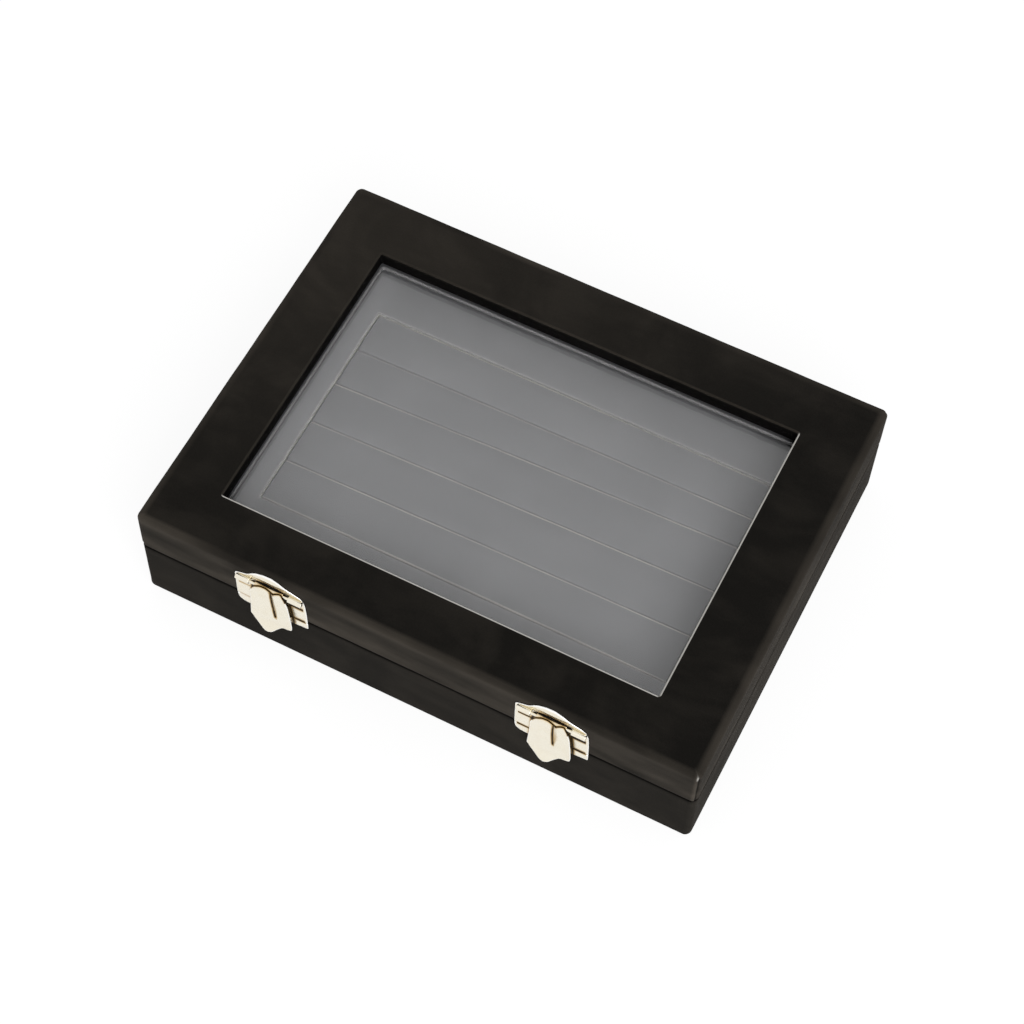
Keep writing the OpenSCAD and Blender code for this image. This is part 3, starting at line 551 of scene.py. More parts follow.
def roll_ring(i, x, seed):
    """One section of roll i, and its painted highlight: a pale line painted along the back shoulder where it
    catches the light.
    """
    past = max(abs(x) - (ROLL_LEN / 2 - ROLL_EDGE), 0)
    shrink = min(ROLL_EDGE - math.sqrt(max(ROLL_EDGE ** 2 - past ** 2, 0)), 0.8 * ROLL_EDGE)
    front, back = slit_y(i - 1, x, 1), slit_y(i, x, -1)
    mid, half = (front + back) / 2, (back - front) / 2 - shrink
    crest = ROLL_TOP - PUFF_ROOM - shrink - ROLL_CROWN * (2 * x / ROLL_LEN) ** 2
    knee = crest - ROLL_ARCH - ROLL_EDGE
    rise = knee - ROLL_FOOT
    sides = [(half + ROLL_PRESS * u ** 4 - ROLL_WAIST * math.sin(math.pi * u), ROLL_FOOT + rise * u)
             for u in np.linspace(0, 1, 9)[:-1]]
    angles = np.linspace(0, math.pi / 2, 10)
    wide = half + ROLL_PRESS - ROLL_EDGE
    edge = [(wide + ROLL_EDGE * math.cos(a), knee + ROLL_EDGE * math.sin(a)) for a in angles]
    flat = [(wide * u, crest - ROLL_ARCH * u ** 2) for u in np.linspace(1, 0, 9)[1:]]
    side = sides + edge + flat
    shoulder = [0] * len(sides) + [1 if 0.4 < a < 1.5 else 0 for a in angles] + [0] * len(flat)
    line = {4: 0.35 + 0.5 * (x / ROLL_LEN + 0.5)}.get(i, 0.85)
    shoulder_highlight = [line * v for v in shoulder] + [(0.6 if i == 1 else 0) * v for v in shoulder[-2::-1]]
    outline = side + [(-y, z) for y, z in side[-2::-1]]
    ring = np.empty((len(outline), 3))
    for k, (y, z) in enumerate(outline):
        soft = 0.10 * waver(x, mid + y, z, 11 * MM, seed) + 0.04 * waver(x, mid + y, z, 4 * MM, seed)
        ring[k] = (x, mid + y, z + soft * MM * clamp((z - ROLL_FOOT) / rise))
    return ring, np.array(shoulder_highlight) * (0.8 + 0.5 * waver(x, mid, 0, 0.02, seed))


def puff(meshes):
    """Blows up the free tops of closed covers with Blender's Cloth. No point moves further than PUFF_MOST."""
    scene = bpy.context.scene
    trials = []
    for mesh in meshes:
        trial = put("trial", mesh.copy())
        held = [v.index for v in mesh.vertices if v.co.z < HELD_Z]
        trial.vertex_groups.new(name="held").add(held, 1.0, "REPLACE")
        cloth = trial.modifiers.new("puff", "CLOTH")
        cloth.settings.use_pressure = True
        cloth.settings.uniform_pressure_force = PUFF_PRESSURE
        cloth.settings.vertex_group_mass = "held"
        cloth.settings.effector_weights.gravity = 0
        cloth.collision_settings.use_collision = False
        cloth.point_cache.frame_start, cloth.point_cache.frame_end = 1, PUFF_FRAMES
        trials.append(trial)
    for moment in range(1, PUFF_FRAMES + 1):
        scene.frame_set(moment)
    for mesh, trial in zip(meshes, trials):
        blown = trial.evaluated_get(bpy.context.evaluated_depsgraph_get()).data
        for point, moved in zip(mesh.vertices, blown.vertices):
            shift = moved.co - point.co
            point.co += shift * min(1, PUFF_MOST / max(shift.length, 1e-9))
    for trial in trials:
        bpy.data.meshes.remove(trial.data)
    scene.frame_set(1)


ends = [ROLL_EDGE * (1 - math.cos(a)) for a in np.linspace(0, math.pi / 2, 7)[:-1]]
stations = [-ROLL_LEN / 2 + e for e in ends]
stations += list(np.linspace(-ROLL_LEN / 2 + ROLL_EDGE, ROLL_LEN / 2 - ROLL_EDGE, 72))
stations += [ROLL_LEN / 2 - e for e in reversed(ends)]
covers = []
for i in range(1, ROLLS + 1):
    sections = [roll_ring(i, x, 11.0 + 1.7 * i) for x in stations]
    covers.append(skin(f"padded_roll_{i}", [ring for ring, _ in sections], caps=True))
    paint(covers[-1], "painted_highlight", [shoulder_highlight for _, shoulder_highlight in sections])
puff(covers)
for i, mesh in enumerate(covers, 1):
    roll = finished(f"padded_roll_{i}", mesh, grey_velvet, "base", "grey_velvet", f"cushion_roll_{i}")


# ---- Black velvet over the lid ----
# One piece of velvet pulled over the lid's frame and rails: over the rounded edges, through the window
# down to the glass and back under the board, and round the rim. It is slit and tucked at the window's
# corners and pleated down the four upright corners.
lid_low, lid_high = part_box("lid_velvet")
LID_Z, TOP_Z = lid_low.z, lid_high.z
FRAME_FRONT, FRAME_BACK, FRAME_LEFT, FRAME_RIGHT = 20 * MM, 22 * MM, 20.8 * MM, 23.3 * MM
GLASS_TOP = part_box("glass_pane")[1].z
WINDOW_W = CASE_W - FRAME_LEFT - FRAME_RIGHT
WINDOW_X = (FRAME_LEFT - FRAME_RIGHT) / 2
WINDOW_D = CASE_D - FRAME_FRONT - FRAME_BACK
WINDOW_Y = CASE_MID_Y + (FRAME_FRONT - FRAME_BACK) / 2
WINDOW_R = 0.6 * MM
BOARD_LOW = GLASS_TOP + VELVET_T
BOARD_TOP = TOP_Z - VELVET_T
GLASS_LAP = 6 * MM
WINDOW_EDGE_R = 0.6 * MM

# each side of the lid is lightened by brushed pile and by painted sheen
LID_NAP_AND_SHEEN = {"front": 0.38, "right": 0.28, "back": 0.30, "left": 0.25}
outside = rounded_loop(CASE_W, CASE_D, CORNER_R, (0, CASE_MID_Y), CASE_STEPS)
window = rounded_loop(WINDOW_W, WINDOW_D, WINDOW_R, (WINDOW_X, WINDOW_Y), CASE_STEPS)


def from_outside(inset, z):
    """A ring at an inset from the lid's outer faces. Past the corners' radius it has sharp corners."""
    x, y = (outside[:, :2] - outside[:, 2:4] * min(inset, CORNER_R)).T
    if inset > CORNER_R:
        x = np.clip(x, inset - CASE_W / 2, CASE_W / 2 - inset)
        y = np.clip(y - CASE_MID_Y, inset - CASE_D / 2, CASE_D / 2 - inset) + CASE_MID_Y
    return np.column_stack([x, y, np.full(len(x), z)])


def from_window(grow, z):
    """A ring grown from the window's opening."""
    return np.column_stack([window[:, :2] + window[:, 2:4] * grow, np.full(len(window), z)])


lid_rings, lid_parts = [], []


def lay(part, *rings):
    """Adds the next rings of the lid's velvet, and notes which part of it they belong to."""
    lid_rings.extend(rings)
    lid_parts.extend([part] * len(rings))


rim_z, shoulder_z = LID_Z + VELVET_T, TOP_Z - EDGE_R
for part, line in (
    ("rim", even([(inner, rim_z), (inner, LID_Z), (VELVET_T, LID_Z)], 1.0 * MM)),
    ("side", arc((VELVET_T, rim_z), VELVET_T, -90, 0, 5)[1:]),
    ("side", even([(0, rim_z), (0, shoulder_z)], 1.2 * MM)[1:]),
    ("edge", arc((EDGE_R, shoulder_z), EDGE_R, 0, 90, 9)[1:]),
):
    lay(part, *[from_outside(inset, z) for inset, z in line])
for share in np.linspace(0, 1, 14)[1:]:
    lay("top", from_outside(EDGE_R, TOP_Z) * (1 - share) + from_window(WINDOW_EDGE_R, TOP_Z) * share)
fold_angles = np.radians(np.linspace(0, 90, 11)[1:])
for a in fold_angles:
    lay("fold", from_window(WINDOW_EDGE_R * (1 - math.sin(a)), TOP_Z - WINDOW_EDGE_R * (1 - math.cos(a))))
lay("recess", *[from_window(0, z) for z in np.linspace(TOP_Z - WINDOW_EDGE_R, GLASS_TOP, 5)[1:]])
lay("hidden", from_window(GLASS_LAP, GLASS_TOP), from_window(GLASS_LAP, BOARD_LOW),
    from_window(VELVET_T, BOARD_LOW), from_window(VELVET_T, BOARD_TOP), from_outside(EDGE_R, BOARD_TOP),
    *[from_outside(inset, z) for inset, z in arc((EDGE_R, shoulder_z), EDGE_R - VELVET_T, 90, 0, 5)[1:]],
    from_outside(VELVET_T, rim_z))

brushed_and_painted_light, painted_highlight = np.zeros((2, len(lid_rings), len(outside)))
for j, (part, ring) in enumerate(zip(lid_parts, lid_rings)):
    for k, row in enumerate(outside):
        nx, ny, turn = row[2:]
        px, py, pz = ring[k]
        push = 0.7 * waver(px, py, pz, 18 * MM, 7.7) + 0.3 * waver(px, py, pz, 6 * MM, 2.3)
        if part in ("top", "edge"):
            ring[k][2] += 0.07 * MM * push
        if part == "top":
            brushed_and_painted_light[j, k] = (near(px, -95 * MM, 60 * MM, 0.22) * near(py, 60 * MM, 90 * MM)
                             + near(py, 75 * MM, 25 * MM, 0.10) * near(px, 0, 70 * MM))
        if part in ("side", "edge"):
            out = 0.10 * MM * push
            # the right side's rounded top edge gets extra painted sheen
            brushed_and_painted_light[j, k] = nap_and_sheen(row, pz, LID_NAP_AND_SHEEN, 7.7) + (0.12 * max(nx, 0) if part == "edge" else 0)
            if turn >= 0:
                away = (turn - 0.55) * CORNER_R * math.pi / 2
                rise = clamp((TOP_Z - 0.4 * MM - pz) / EDGE_R)
                crease, lap = near(away, 0, 0.30 * MM), near(away, -0.8 * MM, 0.6 * MM)
                out += rise * (0.16 * lap - 0.34 * crease) * MM
                # painted shade in the corner's crease and painted light on its lap
                brushed_and_painted_light[j, k] += rise * (0.5 * lap - 0.6 * crease)
                if px > 0 > py:
                    # a painted highlight just under the front right corner's fold
                    painted_highlight[j, k] = near(away, -0.45 * MM, 0.30 * MM, 0.9) * near(pz, TOP_Z - 1.3 * MM, 0.7 * MM)
            ring[k][:2] += row[2:4] * out
        if part == "fold":
            brushed_and_painted_light[j, k] = 0.3
            # a painted highlight along the window's fold, on its front and right sides
            if 8 < math.degrees(fold_angles[j - lid_parts.index("fold")]) < 75:
                painted_highlight[j, k] = max(-window[k, 3], 0) ** 6 + 0.8 * max(window[k, 2], 0) ** 6
piece = covered("lid_velvet_cover", lid_rings, {"brushed_and_painted_light": brushed_and_painted_light, "painted_highlight": painted_highlight},
                black_velvet, "lid", "black_velvet", "lid_velvet")

# painted shade: the window's upright sides and the lid's seam get the near-black pile without sheen
upright = [j for j, part in enumerate(lid_parts) if part == "recess"]
in_seam = [j for j, ring in enumerate(lid_rings) if ring[CORNER_STEPS + 5][2] < LID_Z + 0.55 * VELVET_T]
second_finish(piece, black_velvet_shaded, {upright[0] - 1, *upright[:-1], *in_seam}, len(outside))


# ---- Glass and the frames that hold it ----
# A 2 mm float glass pane lies under the lid's board in a card spacer. A card frame covered in the grey velvet
# is glued up against it from inside; a painted highlight on its inner edge makes it show as a thin pale line
# round the window.
glass, tree, _ = new_finish(
    "clear_glass", Base_Color=(1.0, 1.0, 1.0, 1), Roughness=0.0, IOR=1.5, Transmission_Weight=1.0)
# the lamp's light passes straight through to the insert
mixed = add(tree, "MixShader", {
    0: add(tree, "LightPath").outputs["Is Shadow Ray"],
    1: tree.nodes["Principled BSDF"].outputs[0],
    2: add(tree, "BsdfTransparent", {"Color": (0.95, 0.95, 0.955, 1)}).outputs[0],
})
tree.links.new(mixed.outputs[0], tree.nodes["Material Output"].inputs["Surface"])
dress("glass_pane", glass)
dress("glass_spacer", card)

RETAINER_SHOW = 0.7 * MM
HOLD_STEPS = (60, 44)
retainer_low, retainer_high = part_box("glass_retainer")
hold_outer = rounded_loop(retainer_high.x - retainer_low.x, retainer_high.y - retainer_low.y, 0.3 * MM,
                          (0, CASE_MID_Y), HOLD_STEPS, 4)
hold_inner = rounded_loop(WINDOW_W - 2 * RETAINER_SHOW, WINDOW_D - 2 * RETAINER_SHOW, 1.0 * MM,
                          (WINDOW_X, WINDOW_Y), HOLD_STEPS, 4)
r = 0.5 * MM
z0, z1 = retainer_low.z, retainer_high.z
hold_sections = [(0, 0, 0, z1), (0.5, 0, 0, z1), (0.97, 0, r, z1)]
hold_sections += [(1, 0, r * (1 - math.sin(a)), z1 - r * (1 - math.cos(a))) for a in QUARTER]
hold_sections += [(1, 0, r * (1 - math.cos(a)), z0 + r * (1 - math.sin(a))) for a in QUARTER]
hold_sections += [(0.97, 0, r, z0), (0.5, 0, 0, z0), (0, 0, 0, z0)]
# a painted highlight along the frame's inner edge
pale_edge = [0.12 if share == 1 else 0 for share, *_ in hold_sections]
covered("covered_retainer", frame_rings(hold_outer, hold_inner, hold_sections, 4.4, 0.0),
        {"painted_highlight": np.repeat(pale_edge, len(hold_outer))}, grey_velvet, "lid", "grey_velvet", "glass_retainer")


# ---- Plated metal ----
# Thin pressed brass sheet, plated a pale champagne colour and polished. It is warm, with a painted highlight
# on its rounded outer edges and painted shade in its creases, along its gaps and under its rolls.
PLATE_COLOUR = (0.865, 0.815, 0.69, 1)
PLATE_WARM = (0.80, 0.72, 0.55, 1)
PLATE_GOLDEN_SHADE = (0.50, 0.33, 0.12, 1)
PLATE_CREASE_SHADE = (0.022, 0.012, 0.005, 1)
PLATE_EDGE_HIGHLIGHT = (1.0, 0.99, 0.96, 1)

plated_sheet, take, give = new_group("plated_sheet", {
    "Plating": PLATE_COLOUR, "Warm": PLATE_WARM, "Golden shade": PLATE_GOLDEN_SHADE, "Crease shade": PLATE_CREASE_SHADE,
    "Edge highlight": PLATE_EDGE_HIGHLIGHT, "Polish": 0.22, "Ripple depth": 0.06 * MM})
tree, place, painted_shade = plated_sheet, place_in(plated_sheet), painted(plated_sheet, "painted_shade")
cloud = spread(tree, mottle(tree, place, 4 * MM, 3.0, 0.6, 0.5), 0.42, 0.75, 0.0, 0.45)
scuff = spread(tree, mottle(tree, place, 0.6 * MM, 4.0, 0.7), 0.3, 0.75, 0.0, 0.10)
metal = blend_colours(tree, cloud, take["Plating"], take["Warm"])
metal = blend_colours(tree, painted(tree, "painted_edge_highlight"), metal, take["Edge highlight"])
metal = blend_colours(tree, spread(tree, painted_shade, 0.0, 0.5), metal, take["Golden shade"])
metal = blend_colours(tree, spread(tree, painted_shade, 0.5, 1.0), metal, take["Crease shade"])
rough = calc(tree, "ADD", calc(tree, "MULTIPLY_ADD", painted_shade, 0.4, scuff), take["Polish"])
feed_surface(tree, give, metal, rough, mottle(tree, place, 2.2 * MM, 2.0, 0.5), take["Ripple depth"], 0.5)

latch_metal, hinge_metal, screw_metal = [
    group_finish(name, plated_sheet, values, Metallic=1.0) for name, values in (
        ("latch_plating", {"Polish": 0.2}),
        ("hinge_plating", {"Polish": 0.32, "Plating": (0.80, 0.75, 0.63, 1)}),
        ("screw_plating", {"Polish": 0.25, "Plating": (0.78, 0.72, 0.58, 1)}),
    )
]


# ---- Hinges ----
# Two small butt hinges of the plated sheet at the back, with five knuckles on a round pin. Each leaf is
# held by two domed, slotted screws, driven through the velvet into the boards.
for side in ("left", "right"):
    for part in ("base_leaf", "lid_leaf", "pin"):
        dress(f"hinge_{side}_{part}", hinge_metal)

SCREW_HEAD_R = 1.4 * MM
SCREW_HEAD_H = 0.6 * MM
SCREW_SHANK_R = 0.7 * MM
SCREW_SLOT = 0.35 * MM
SCREW_SPREAD = 12 * MM

screws, take, give = new_group("hinge_screws", {
    "Geometry": "Geometry", "Head radius": SCREW_HEAD_R, "Head height": SCREW_HEAD_H,
    "Shank radius": SCREW_SHANK_R, "Shank length": 4 * MM, "Slot width": SCREW_SLOT, "Seed": 3,
    "Finish": "Material",
}, {"Geometry": "Geometry"}, "GeometryNodeTree")


def vector(**parts):
    """A vector in the screws' group."""
    return add(screws, "CombineXYZ", parts).outputs[0]


def placed(shape, **how):
    """A shape of the screws' group, moved or scaled."""
    return add(screws, "GeometryNodeTransform", {"Geometry": shape, **how}).outputs[0]


ball = add(screws, "GeometryNodeMeshUVSphere", {"Segments": 28, "Rings": 14, "Radius": 1.0}).outputs["Mesh"]
head = placed(ball, Scale=vector(X=take["Head radius"], Y=take["Head radius"], Z=take["Head height"]))
slot_length = calc(screws, "MULTIPLY", take["Head radius"], 3.0)
slot = add(screws, "GeometryNodeMeshCube", {
    "Size": vector(X=slot_length, Y=take["Slot width"], Z=take["Head height"])}).outputs["Mesh"]
slot = placed(slot, Translation=vector(Z=calc(screws, "MULTIPLY", take["Head height"], 0.95)))
cut = add(screws, "GeometryNodeMeshBoolean", {"Mesh 1": head, "Mesh 2": slot}, operation="DIFFERENCE",
          solver="EXACT").outputs["Mesh"]
shank = add(screws, "GeometryNodeMeshCylinder", {
    "Vertices": 20, "Radius": take["Shank radius"], "Depth": take["Shank length"]}).outputs["Mesh"]
shank = placed(shank, Translation=vector(Z=calc(screws, "MULTIPLY", take["Shank length"], -0.5)))
both = add(screws, "GeometryNodeJoinGeometry")
for shape in (cut, shank):
    screws.links.new(shape, both.inputs[0])
turn = add(screws, "FunctionNodeRandomValue", {2: 0.0, 3: math.pi, "Seed": take["Seed"]}, data_type="FLOAT")
set_in = add(screws, "GeometryNodeInstanceOnPoints", {
    "Points": take["Geometry"], "Instance": both.outputs[0],
    "Rotation": vector(X=-math.pi / 2, Y=turn.outputs[1])}).outputs[0]
plain = add(screws, "GeometryNodeRealizeInstances", {"Geometry": set_in}).outputs[0]
coated = add(screws, "GeometryNodeSetMaterial", {"Geometry": plain, "Material": take["Finish"]}).outputs[0]
screws.links.new(coated, give[0])


for half, seed in (("base", 3), ("lid", 8)):
    low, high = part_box(half + "_hinge_screws")
    places = []
    for side in ("left", "right"):
        middle = sum(corner.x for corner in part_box(f"hinge_{side}_{half}_leaf")[:2]) / 2
        places += [(middle + way * SCREW_SPREAD / 2, high.y - SCREW_HEAD_H, (low.z + high.z) / 2)
                   for way in (-1, 1)]
    mesh = bpy.data.meshes.new("screw_places")
    mesh.from_pydata(places, [], [])
    holder = put("screw_places", mesh)
    modifier = holder.modifiers.new("screws", "NODES")
    modifier.node_group = screws
    values = {"Shank length": high.y - SCREW_HEAD_H - low.y, "Seed": seed, "Finish": screw_metal}
    for socket in screws.interface.items_tree:
        if socket.name in values:
            modifier[socket.identifier] = values[socket.name]
    name = "slotted_screws_" + half
    made = bpy.data.meshes.new_from_object(holder.evaluated_get(bpy.context.evaluated_depsgraph_get()))
    made.name = name
    bpy.data.meshes.remove(mesh)
    finished(name, made, screw_metal, half, "screw_metal", half + "_hinge_screws")


# ---- Latches ----
# Two pressed latches. An upper plate wraps over the lid's front edge and rolls round a pin on both
# sides of a tongue; the tongue hangs from the pin and snaps over a bead on the lower plate.
CASE_FRONT = CASE_MID_Y - CASE_D / 2
METAL_T = 0.5 * MM
PLATE_T = 0.96 * METAL_T
LATCHES = {"left": -50.2 * MM, "right": 50.2 * MM}
PIN_Z = 41.0 * MM
PIN_OUT = 1.3 * MM
CURL_R = 1.0 * MM
EDGE_SOFT = 0.12 * MM
KNUCKLE_BORE = 0.47 * MM
PIN_R = 0.45 * MM
BEAD_Z, BEAD_R = 25.5 * MM, 0.95 * MM
PIN_HALF, BEAD_HALF, CURL_HALF = 11.95 * MM, 6.7 * MM, 5.1 * MM
ROLL_START, ROLL_STOP = 7.1 * MM, 12.0 * MM
# painted shade on the cut edges of the slot
CUT_SHADE = 0.8


def eased_loop(points, gap, ease=0.6):
    """A loop of (x, z) points in millimetres, each corner eased over a set length, in even steps of gap
    metres. A third number gives a corner its own length."""
    line = []
    for k, point in enumerate(points):
        here, own = np.array(point[:2], float), (*point[2:], ease)[0]
        ends = []
        for end in (points[k - 1], points[(k + 1) % len(points)]):
            to = np.array(end[:2], float) - here
            ends.append(here + to * min(own / np.linalg.norm(to), 0.45))
        line += [ends[0] * (1 - t) ** 2 + here * 2 * t * (1 - t) + ends[1] * t ** 2
                 for t in np.linspace(0, 1, 6)]
    loop = np.array(line) * MM
    closed = np.vstack([loop, loop[:1]])
    lengths = np.concatenate([[0], np.cumsum(np.linalg.norm(np.diff(closed, axis=0), axis=1))])
    n = max(8, round(lengths[-1] / gap))
    at = np.linspace(0, lengths[-1], n, endpoint=False)
    return np.column_stack([np.interp(at, lengths, closed[:, k]) for k in (0, 1)])


def drawn_in(loop, by):
    """A counter-clockwise loop moved inwards by a small distance."""
    run = np.roll(loop, -1, axis=0) - np.roll(loop, 1, axis=0)
    run /= np.linalg.norm(run, axis=1)[:, None]
    return loop + by * np.column_stack([-run[:, 1], run[:, 0]])


def turned_left(loop):
    """The loop, counter-clockwise."""
    x, z = loop[:, 0], loop[:, 1]
    return loop if np.sum(x * np.roll(z, -1) - z * np.roll(x, -1)) > 0 else loop[::-1]


def inside(points, loop, *holes):
    """Which of the points lie inside the loop and outside the holes."""
    x, z = points[:, 0][:, None], points[:, 1][:, None]
    x1, z1 = loop[:, 0][None], loop[:, 1][None]
    x2, z2 = np.roll(x1, -1), np.roll(z1, -1)
    with np.errstate(divide="ignore", invalid="ignore"):
        crosses = ((z1 > z) != (z2 > z)) & (x < (x2 - x1) * (z - z1) / (z2 - z1) + x1)
    found = crosses.sum(axis=1) % 2 == 1
    for hole in holes:
        found &= ~inside(points, hole)
    return found


def pressed_sheet(outline, cuts, shape, thick, gap, middle_x, painted_shade):
    """A closed piece of sheet metal. outline and cuts are loops of (x, z) on the flat sheet, and shape(x, z,
    depth) gives the stand-off from the case and the height of a point that lies depth below the outer face.
    Every edge is a little rounded, and the outer edge gets a painted highlight. The function given last tells
    how much painted shade the face gets at a place in millimetres."""
    loops = [turned_left(outline)] + [turned_left(cut)[::-1] for cut in cuts]
    rims = [drawn_in(loop, EDGE_SOFT) for loop in loops]
    across, up = (np.arange(outline[:, k].min(), outline[:, k].max(), gap) for k in (0, 1))
    grid = np.array([(x, z) for z in up for x in across])
    margin = 0.5 * gap + EDGE_SOFT
    holes = [drawn_in(loop[::-1], -margin) for loop in loops[1:]]
    grid = grid[inside(grid, drawn_in(loops[0], margin), *holes)]
    edges, start = [], 0
    for rim in rims:
        edges += [(start + k, start + (k + 1) % len(rim)) for k in range(len(rim))]
        start += len(rim)
    found = delaunay_2d_cdt([Vector(p) for p in np.vstack([*rims, grid])], edges, [], 1, 1e-9)
    flat = np.array([tuple(p) for p in found[0]])
    middles = np.array([flat[list(f)].mean(axis=0) for f in found[2]])
    tris = [f for f, ok in zip(found[2], inside(middles, *rims)) if ok]
    n = len(flat)

    def lay_point(p, depth):
        out, height = shape(p[0], p[1], depth)
        return (middle_x + p[0], CASE_FRONT - out, height)

    points = [lay_point(p, depth) for depth in (0, thick) for p in flat]
    shade_paint = [painted_shade(*p / MM) for p in flat] * 2
    # painted highlight on the outer edge's rounding
    bright = [1.0] * len(rims[0]) + [0.0] * (len(points) - len(rims[0]))
    faces = [tuple(f) for f in tris] + [tuple(n + v for v in reversed(f)) for f in tris]
    start = 0
    for loop in loops:
        m, first = len(loop), len(points)
        points += [lay_point(p, depth) for depth in (EDGE_SOFT, thick - EDGE_SOFT) for p in loop]
        shade_paint += [CUT_SHADE if start else painted_shade(*p / MM) for p in loop] * 2
        bright += [0.0 if start else 1.0] * (2 * m)
        bands = (start, first, first + m, n + start)
        faces += [(a + k, b + k, b + (k + 1) % m, a + (k + 1) % m)
                  for k in range(m) for a, b in zip(bands, bands[1:])]
        start += m
    mesh = bpy.data.meshes.new("sheet")
    mesh.from_pydata(points, [], faces)
    paint(mesh, "painted_shade", shade_paint)
    paint(mesh, "painted_edge_highlight", bright)
    return settle(mesh)


def rolled_bar(profile, x0, x1, middle_x, painted_shade=lambda x, out, z: 0.0):
    """A bar along the front with a profile of (stand-off, z) points, softened at its ends."""
    profile = np.array(profile)
    centre = profile.mean(axis=0)
    soft = 0.05 * MM
    plain = np.linspace(x0 + 3 * soft, x1 - 3 * soft, max(2, round((x1 - x0) / (0.4 * MM))))
    rings, shade_paint = [], []
    for x, share in ((x0, 0.93), (x0 + soft, 0.98), *[(x, 1) for x in plain], (x1 - soft, 0.98), (x1, 0.93)):
        ring = centre + (profile - centre) * share
        rings.append(np.column_stack([np.full(len(ring), middle_x + x), CASE_FRONT - ring[:, 0], ring[:, 1]]))
        shade_paint.append([painted_shade(x / MM, out / MM, z / MM) for out, z in ring])
    mesh = skin("bar", rings, caps=True)
    paint(mesh, "painted_shade", shade_paint)
    return mesh


def joined(name, meshes):
    """Several closed meshes as one."""
    work = bmesh.new()
    for mesh in meshes:
        work.from_mesh(mesh)
        bpy.data.meshes.remove(mesh)
    out = bpy.data.meshes.new(name)
    work.to_mesh(out)
    work.free()
    out.shade_smooth()
    return out


def about(out, z, radius, angles):
    """Points (stand-off, z) on an arc about a middle."""
    return [(out + radius * math.cos(a), z + radius * math.sin(a)) for a in angles]


def knuckle(start, stop, radius, steps):
    """The section of a rolled edge round the pin: an open ring from start to stop degrees, 0 outwards."""
    angles = np.radians(np.linspace(start, stop, steps))
    return about(PIN_OUT, PIN_Z, radius, angles) + about(PIN_OUT, PIN_Z, KNUCKLE_BORE, angles[::-1])


PLATE_BEND_Z = 44.4 * MM


def plate_shape(x, z, depth):
    """The upper plate: flat on the lid's front, then back over its rounded edge, with a raised arch."""
    past = z - PLATE_BEND_Z
    reach = EDGE_R + METAL_T
    lie = METAL_T if past <= 0 else math.sqrt(max(reach ** 2 - past ** 2, 0)) - EDGE_R
    swell = near(x, 0, 6.5 * MM, 0.22 * MM) * near(z, 44.5 * MM, 0.8 * MM)
    wing = near(abs(x), 10 * MM, 3 * MM, 0.12 * MM) * near(z, 33 * MM, 3 * MM)
    return lie + swell + wing - depth, z


PLATE_OUTLINE = [
    (-13, 28.0, 0.3), (-13, 41.3, 0.8), (-11, 42.2), (-8.6, 43.0, 0.9), (-6.9, 44.8), (-5.4, 45.45),
    (-2.6, 45.85), (0.4, 45.9), (3.4, 45.5), (6.2, 44.6), (8.2, 43.8), (10.2, 43.2), (11.6, 42.2),
    (12.5, 39.6), (12.9, 34), (13, 28.0, 0.3),
]
SLOT_OUTLINE = [
    (-7.1, 39.6), (7.1, 39.6), (7.1, 40.3), (6.6, 41.0), (5.4, 41.75), (3.8, 42.1), (1.6, 42.65),
    (-1.0, 42.8), (-3.0, 42.5), (-4.6, 41.9), (-5.6, 41.5), (-6.6, 40.8), (-7.1, 40.1),
]
# how much painted shade each latch's left and right wing gets
WING_SHADE = {"left": (0.35, 0.85), "right": (0.9, 1.15)}
CATCH_OUTLINE = [
    (-13, 27.6, 0.2), (13, 27.6, 0.2), (13, 24.2, 0.4), (9, 23.8), (-10.2, 23.4, 1.6), (-12.5, 24.6, 1.2),
]
TONGUE_OUTLINE = [
    (-7.0, 31), (-6.9, 36.4), (-6.2, 39.2), (-5.0, 41.2), (-3.1, 42.1), (-1.0, 42.2), (0.8, 41.75),
    (1.9, 41.25, 0.3), (3.0, 41.9), (4.3, 42.35), (5.3, 41.7), (6.0, 40.0), (6.9, 35.5), (7.5, 29),
    (7.8, 23.3), (7.6, 20.9, 0.7), (6.4, 20.5), (4.2, 20.3, 0.9), (2.5, 18.6), (0.7, 16.5), (-0.9, 15.85),
    (-2.3, 16.3), (-4.5, 18.1), (-6.4, 19.6), (-7.6, 21.0, 0.5), (-7.5, 23),
]
# the pressed groove of each tongue: heights, its steep left side and its soft right side, in millimetres
GROOVES = {
    "left": ((24.4, 25.2, 29, 33.4, 37.9, 41.7),
             (2.2, 1.9, 1.55, 1.25, 1.0, 0.95), (2.2, 2.9, 2.9, 2.8, 2.4, 1.9)),
    "right": ((26.9, 29, 31, 34.5, 38, 41.7),
              (1.6, 1.3, 1.15, 1.0, 0.95, 1.05), (1.6, 2.3, 2.7, 3.1, 2.8, 1.9)),
}
TONGUE_FACE = PIN_OUT + CURL_R
TONGUE_CORNER_Z = 20.4 * MM
TIP_Z = 15.8 * MM
LIP_OUT = 1.6 * MM


def groove_sides(z, groove):
    """Where the groove's left and right sides begin at a height, in millimetres."""
    return [np.interp(z, groove[0], side) for side in groove[1:]]


def groove_depth(x, z, groove):
    """How deep the groove is pressed at a point in millimetres, from 0 to 1."""
    low, high = groove[0][0], groove[0][-1]
    if not low < z < high:
        return 0.0
    x0, x1 = groove_sides(z, groove)
    if x < x0:
        return max(1 - (x0 - x) / 0.3, 0)
    return max(1 - (x - x0) / max(x1 - x0, 0.1), 0) * min((z - low) / 1.5, 1)


